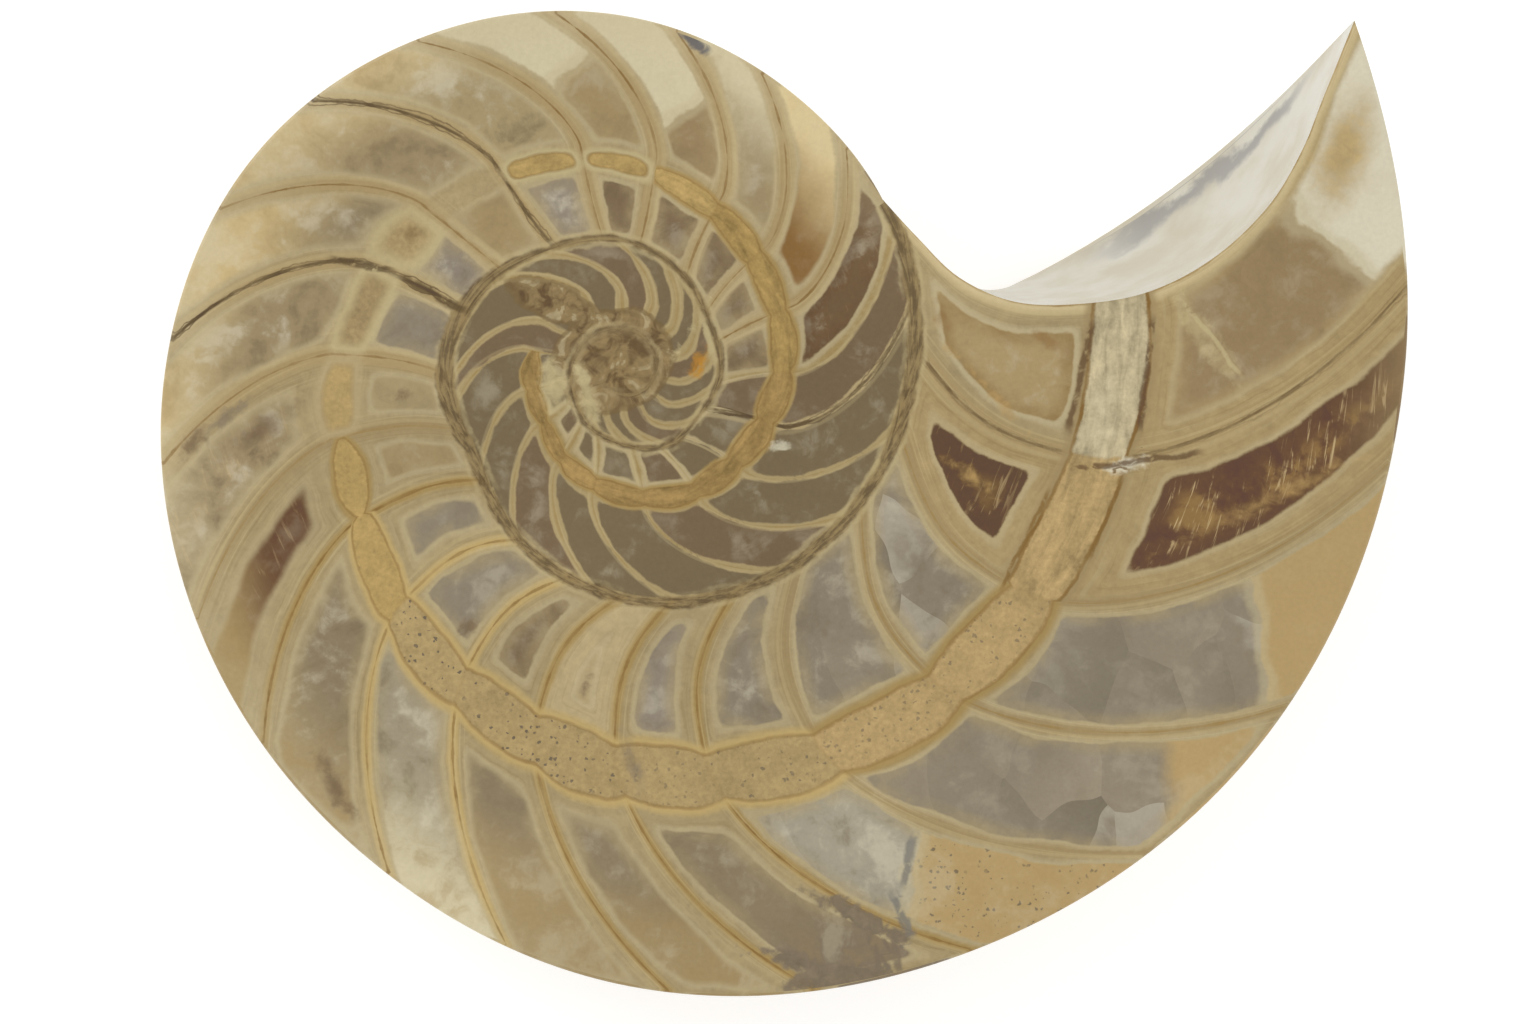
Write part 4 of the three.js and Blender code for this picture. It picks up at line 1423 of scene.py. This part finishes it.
    def septa(self, colour: Any) -> Any:
        """The thin line of each septum, stronger and weaker along its length, with a pale line behind it.

        Args:
            colour: the colour so far.
        Returns:
            The colour.
        """
        at, add = self.at, self.add
        at["strength"] = add(Node.RAMP, at["cloud"], 0.32, 0.62, 0.2, 0.8)
        at["clear"] = add(Node.STEP, at["back"], 0.25, 0.5)
        colour = self.lay(
            colour,
            ("back", 0.85, 0.6, 0.8, "#C3B084", "pale", "clear"),
            ("near_line", 1.1, 0.3, 1.0, "line", "strength"),
        )
        # The strands of a cracked septum: shift, waver, sway and width.
        for shift, waver, sway, width in (
            (0.03, 0.15, 0.15, 0.2), (0.22, 0.22, -0.15, 0.1), (-0.2, -0.2, 0.18, 0.1),
        ):
            strand = add(Node.MULTIPLY_ADD, at["waver"], waver, add(Node.ADD, at["past"], shift))
            at["strand"] = add(Node.ABSOLUTE, add(Node.MULTIPLY_ADD, at["sway"], sway, strand))
            colour = self.lay(colour, ("strand", width, 0.3 * width, 0.85, Tint.CRACK, "crack", "strength"))
        return colour

    def siphuncle(self, colour: Any) -> Any:
        """The siphuncle: a yellow ring, a brown skin and a sandy filling with dark grains.

        Args:
            colour: the colour so far.
        Returns:
            The colour.
        """
        at, add = self.at, self.add
        at["kept"] = add(Node.SUBTRACT, 1.0, at["fade"])
        at["patchy"] = add(Node.RAMP, at["cloud"], 0.3, 0.6, 0.5, 1.0)
        at["ring_line"] = add(Node.ABSOLUTE, at["rings"])
        sheen = add(Node.NOISE, add(Node.MOVE, at["strip"], (0.14, 1.0, 0.0)), Detail=4.0, Distortion=0.5)
        tone = 1.0
        for noise, most in (("cloud", 0.07), ("mottle", 0.1)):
            tone = add(Node.ADD, add(Node.RAMP, at[noise], *SPAN, -most, most), tone)
        tone = add(Node.MULTIPLY_ADD, add(Node.RAMP, sheen, *SPAN, -0.28, 0.28), at["sparkle"], tone)
        tone = add(Node.MULTIPLY_ADD, at["grit"], 0.07, tone)
        sand = add(Node.MIX, at["grains"], add(Node.SCALE, at["bead"], Scale=tone), "#635C52")
        sand = self.lay(sand, ("neck", 0.35, 0.05, 0.12, Tint.BRONZE))
        return self.lay(
            colour,
            ("rings", -1.15, -0.3, 0.85, "halo", "kept"),
            ("tube_edge", -0.5, 0.5, 1.0, sand, "kept"),
            ("ring_line", 0.3, 0.06, 1.0, Tint.BRONZE, "skin", "kept", "patchy"),
        )

    def inner_turns(self, colour: Any) -> Any:
        """The innermost turns, a brown and pale swirl with fibres along the coil and a dark rim.

        Args:
            colour: the colour so far.
        Returns:
            The colour.
        """
        at, add = self.at, self.add
        fibre = add(Node.MOVE, at["strip"], (0.3, 1.6, 0.0), at["mm"])
        fibre = add(Node.NOISE, fibre, Detail=4.0, Distortion=0.6)
        swirl = self.lay(
            "#675239", ("curl", 0.36, 0.54, 1.0, "#937D58"), ("curl", 0.56, 0.64, 0.75, "#B8A883")
        )
        swirl = add(Node.SCALE, swirl, Scale=add(Node.RAMP, fibre, *SPAN, 0.88, 1.12))
        at["broken_edge"] = add(Node.ABSOLUTE, at["broken"])
        return self.lay(
            colour, ("broken", -0.2, 0.3, 0.9, swirl), ("broken_edge", 0.3, 0.1, 0.6, Tint.BARK)
        )

    def wall(self, colour: Any) -> Any:
        """The shell wall between the turns, with fine fibres along the coil and a pale line beside it.

        Args:
            colour: the colour so far.
        Returns:
            The colour.
        """
        at, add = self.at, self.add
        lengthwise = add(Node.VECTOR, at["along"], at["wall"])
        lengthwise = add(Node.MOVE, lengthwise, (0.16, 3.2, 0.0), add(Node.SCALE, at["mm"], Scale=0.35))
        fibre = add(Node.NOISE, lengthwise, Detail=5.0, Distortion=0.3)
        at["fibre"] = add(Node.ADD, fibre, add(Node.RAMP, at["mottle"], *SPAN, -0.1, 0.1))
        at["wall_edge"] = add(Node.MULTIPLY_ADD, at["waver"], 0.22, at["wall"])
        at["whole"] = add(Node.STEP, at["rubble"], 2.6, 1.2)
        at["beside"] = add(Node.STEP, at["cloud"], 0.36, 0.6)
        fibrous = self.lay("#5F4D37", ("fibre", 0.34, 0.66, 1.0, "#947F58"))
        return self.lay(
            colour,
            ("wall_edge", -0.55, -0.25, 0.6, "#BBAA80", "beside", "whole"),
            ("wall_edge", -0.2, 0.2, 0.85, fibrous, "whole"),
        )

    def patches(self, colour: Any) -> Any:
        """Patches that only this shell has, with ragged borders.

        Args:
            colour: the colour so far.
        Returns:
            The colour.
        """
        at, add = self.at, self.add
        depth = add(Node.ADD, add(Node.RAMP, at["mottle"], *SPAN, -0.35, 0.35), at["mark"])
        at["patch"] = add(Node.DIVIDE, depth, at["mark_blur"])
        tint = add(Node.SCALE, at["mark_tint"], Scale=add(Node.RAMP, at["mottle"], *SPAN, 0.84, 1.16))
        return self.lay(colour, ("patch", -0.4, 0.9, 1.0, tint, "mark_most"))

    def lines(self, colour: Any) -> Any:
        """Veins that only this shell has, wavering and broken along their length.

        Args:
            colour: the colour so far.
        Returns:
            The colour.
        """
        at, add = self.at, self.add
        waver = add(Node.MULTIPLY, add(Node.MULTIPLY, at["waver"], 0.5), at["vein_width"])
        offset = add(Node.ABSOLUTE, add(Node.ADD, waver, at["offset"]))
        at["vein"] = add(Node.DIVIDE, offset, at["vein_width"])
        at["unbroken"] = add(Node.STEP, at["mottle"], 0.3, 0.48)
        at["within"] = add(Node.STEP, at["way_left"], 0.0, 1.5)
        return self.lay(colour, ("vein", 1.0, 0.3, 0.8, "vein_tint", "unbroken", "within"))


@dataclass
class HollowFinish(Graph):
    """White calcite on the last septum: smooth, cream to white, with a blue-grey stain along the rim."""

    name: str = "white_calcite_septum"
    cloud_size: float = 7.0  # millimetres
    roughness: float = 0.4
    ior: float = 1.55

    def make(self) -> bpy.types.Material:
        """Makes the material, which reads the place in the hollow from the mesh's attribute.

        Returns:
            The material.
        """
        at, add = self.at, self.add
        place = add(Node.READ, out="Vector", attribute_name="hollow")
        at["from_tip"], from_edge, _ = add(Node.PARTS, place).node.outputs
        mm = add(Node.MOVE, add(Node.PLACE, out="Object"), (1 / MM,) * 3)
        at["cloud"] = add(Node.NOISE, mm, Scale=1 / self.cloud_size, Detail=5.0)
        at["drift"] = add(Node.ADD, from_edge, add(Node.RAMP, at["cloud"], *SPAN, -0.09, 0.09))
        for name, of, begins, full, most in (
            ("off_rim", "drift", 0.97, 0.91, 1.0), ("off_root", "from_tip", 0.41, 0.3, 0.95),
            ("off_tip", "from_tip", 0.04, 0.12, 0.95),
        ):
            at[name] = add(Node.STEP, at[of], begins, full, To_Max=most)
        colour = self.lay(
            "#C0B7A0",
            ("cloud", 0.35, 0.65, 1.0, "#CDC9BA"),
            ("drift", 0.79, 0.88, 1.0, "#93908B", "off_rim", "off_root", "off_tip"),
        )
        add(Node.OUTPUT, add(Node.SURFACE, Base_Color=colour, Roughness=self.roughness, IOR=self.ior))
        return self.material


@dataclass
class NautilusHalf:
    """The whole half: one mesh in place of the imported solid."""

    place: Place
    sharp_angle: float = 40.0  # degrees past which an edge stays sharp

    def build(self) -> bpy.types.Object:
        """Builds the mesh, dresses it and ties it to the frame.

        Returns:
            The object, at the origin.
        """
        pattern = Pattern(Coil(), Mouth(), CHAMBERS + inner_chambers())
        skin = Skin()
        face = CutFace(pattern)
        outline, outline_angle, edge = face.build(skin)
        flank, flank_points, reach = Flank(pattern, face).build(skin, outline, outline_angle)
        Hollow().build(skin, edge, flank_points[0], flank[-1], flank_points[-1], reach)
        mesh = skin.to_mesh("fossil_half", self.place)
        mesh.shade_smooth()
        mesh.set_sharp_from_angle(angle=math.radians(self.sharp_angle))
        for finish in (FossilFinish(), HollowFinish()):
            mesh.materials.append(finish.make())
        piece = bpy.data.objects.new("fossil_half", mesh)
        bpy.context.scene.collection.objects.link(piece)
        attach(piece, "root")
        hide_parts(NODE)
        return piece


@dataclass(frozen=True)
class Studio:
    """Camera, soft light and a plain pale floor."""

    place: Place
    view_width: float = 140.9  # millimetres of the cut face across the picture
    view_centre: tuple[float, float] = (13.2, -13.0)  # picture's middle from the coil axis, in millimetres
    distance: float = 0.9
    sensor: float = 36.0
    sky: float = 0.82
    # Name, place in metres, size and power of each lamp.
    lamps: tuple[tuple[str, tuple[float, float, float], float, float], ...] = (
        ("key_lamp", (-0.9, 0.7, 0.9), 0.9, 5.0),
        ("fill_lamp", (1.0, -0.5, 0.8), 0.9, 2.5),
    )
    floor_size: float = 6.0
    floor_tint: str = "#D8D8D8"
    floor_roughness: float = 0.9
    floor_glow: float = 0.75  # a bright sweep, so that the half's shadow stays faint

    def build(self) -> None:
        """Sets the camera, the lights and the floor."""
        self.add_camera()
        self.add_lights()
        self.add_floor()

    def add_camera(self) -> None:
        """A long lens square to the cut face, framed as the photograph is."""
        data = bpy.data.cameras.new("camera")
        data.sensor_width = self.sensor
        data.lens = self.sensor * self.distance / (self.view_width * MM)
        camera = bpy.data.objects.new("camera", data)
        turn = self.place.turn
        eye = Vector((self.view_centre[0] * MM, self.view_centre[1] * MM, self.distance))
        camera.matrix_world = Matrix.Translation(self.place.origin + turn @ eye) @ turn.to_4x4()
        bpy.context.scene.collection.objects.link(camera)
        bpy.context.scene.camera = camera

    def add_lights(self) -> None:
        """Even white surroundings, and two broad lamps to the sides, clear of the face's mirror direction."""
        scene = bpy.context.scene
        scene.view_settings.view_transform = "Standard"
        scene.world = bpy.data.worlds.new("studio")
        scene.world.use_nodes = True
        sky = scene.world.node_tree.nodes["Background"].inputs
        sky["Color"].default_value = (1, 1, 1, 1)
        sky["Strength"].default_value = self.sky
        for name, spot, size, power in self.lamps:
            data = bpy.data.lights.new(name, "AREA")
            data.size = size
            data.energy = power
            lamp = bpy.data.objects.new(name, data)
            lamp.location = spot
            lamp.rotation_euler = (-Vector(spot)).to_track_quat("-Z", "Y").to_euler()
            scene.collection.objects.link(lamp)

    def add_floor(self) -> None:
        """A wide pale floor at the height that the half rests on."""
        half = self.floor_size / 2
        corners = [(-half, -half, 0), (half, -half, 0), (half, half, 0), (-half, half, 0)]
        mesh = bpy.data.meshes.new("floor")
        mesh.from_pydata(corners, [], [(0, 1, 2, 3)])
        paint = Graph("pale_matt_paint")
        surface = paint.add(
            Node.SURFACE, Base_Color=self.floor_tint, Roughness=self.floor_roughness,
            Emission_Color=self.floor_tint, Emission_Strength=self.floor_glow,
        )
        paint.add(Node.OUTPUT, surface)
        mesh.materials.append(paint.material)
        floor = bpy.data.objects.new("floor", mesh)
        bpy.context.scene.collection.objects.link(floor)


def main() -> None:
    """Builds the half and the studio, and logs the half's triangle count."""
    logging.basicConfig(level=logging.INFO)
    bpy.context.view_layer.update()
    place = Place.from_record(frame["record"])
    piece = NautilusHalf(place).build()
    LOG.info("%s: %d triangles", piece.name, len(piece.data.polygons))
    Studio(place).build()


if __name__ == "__main__":
    main()
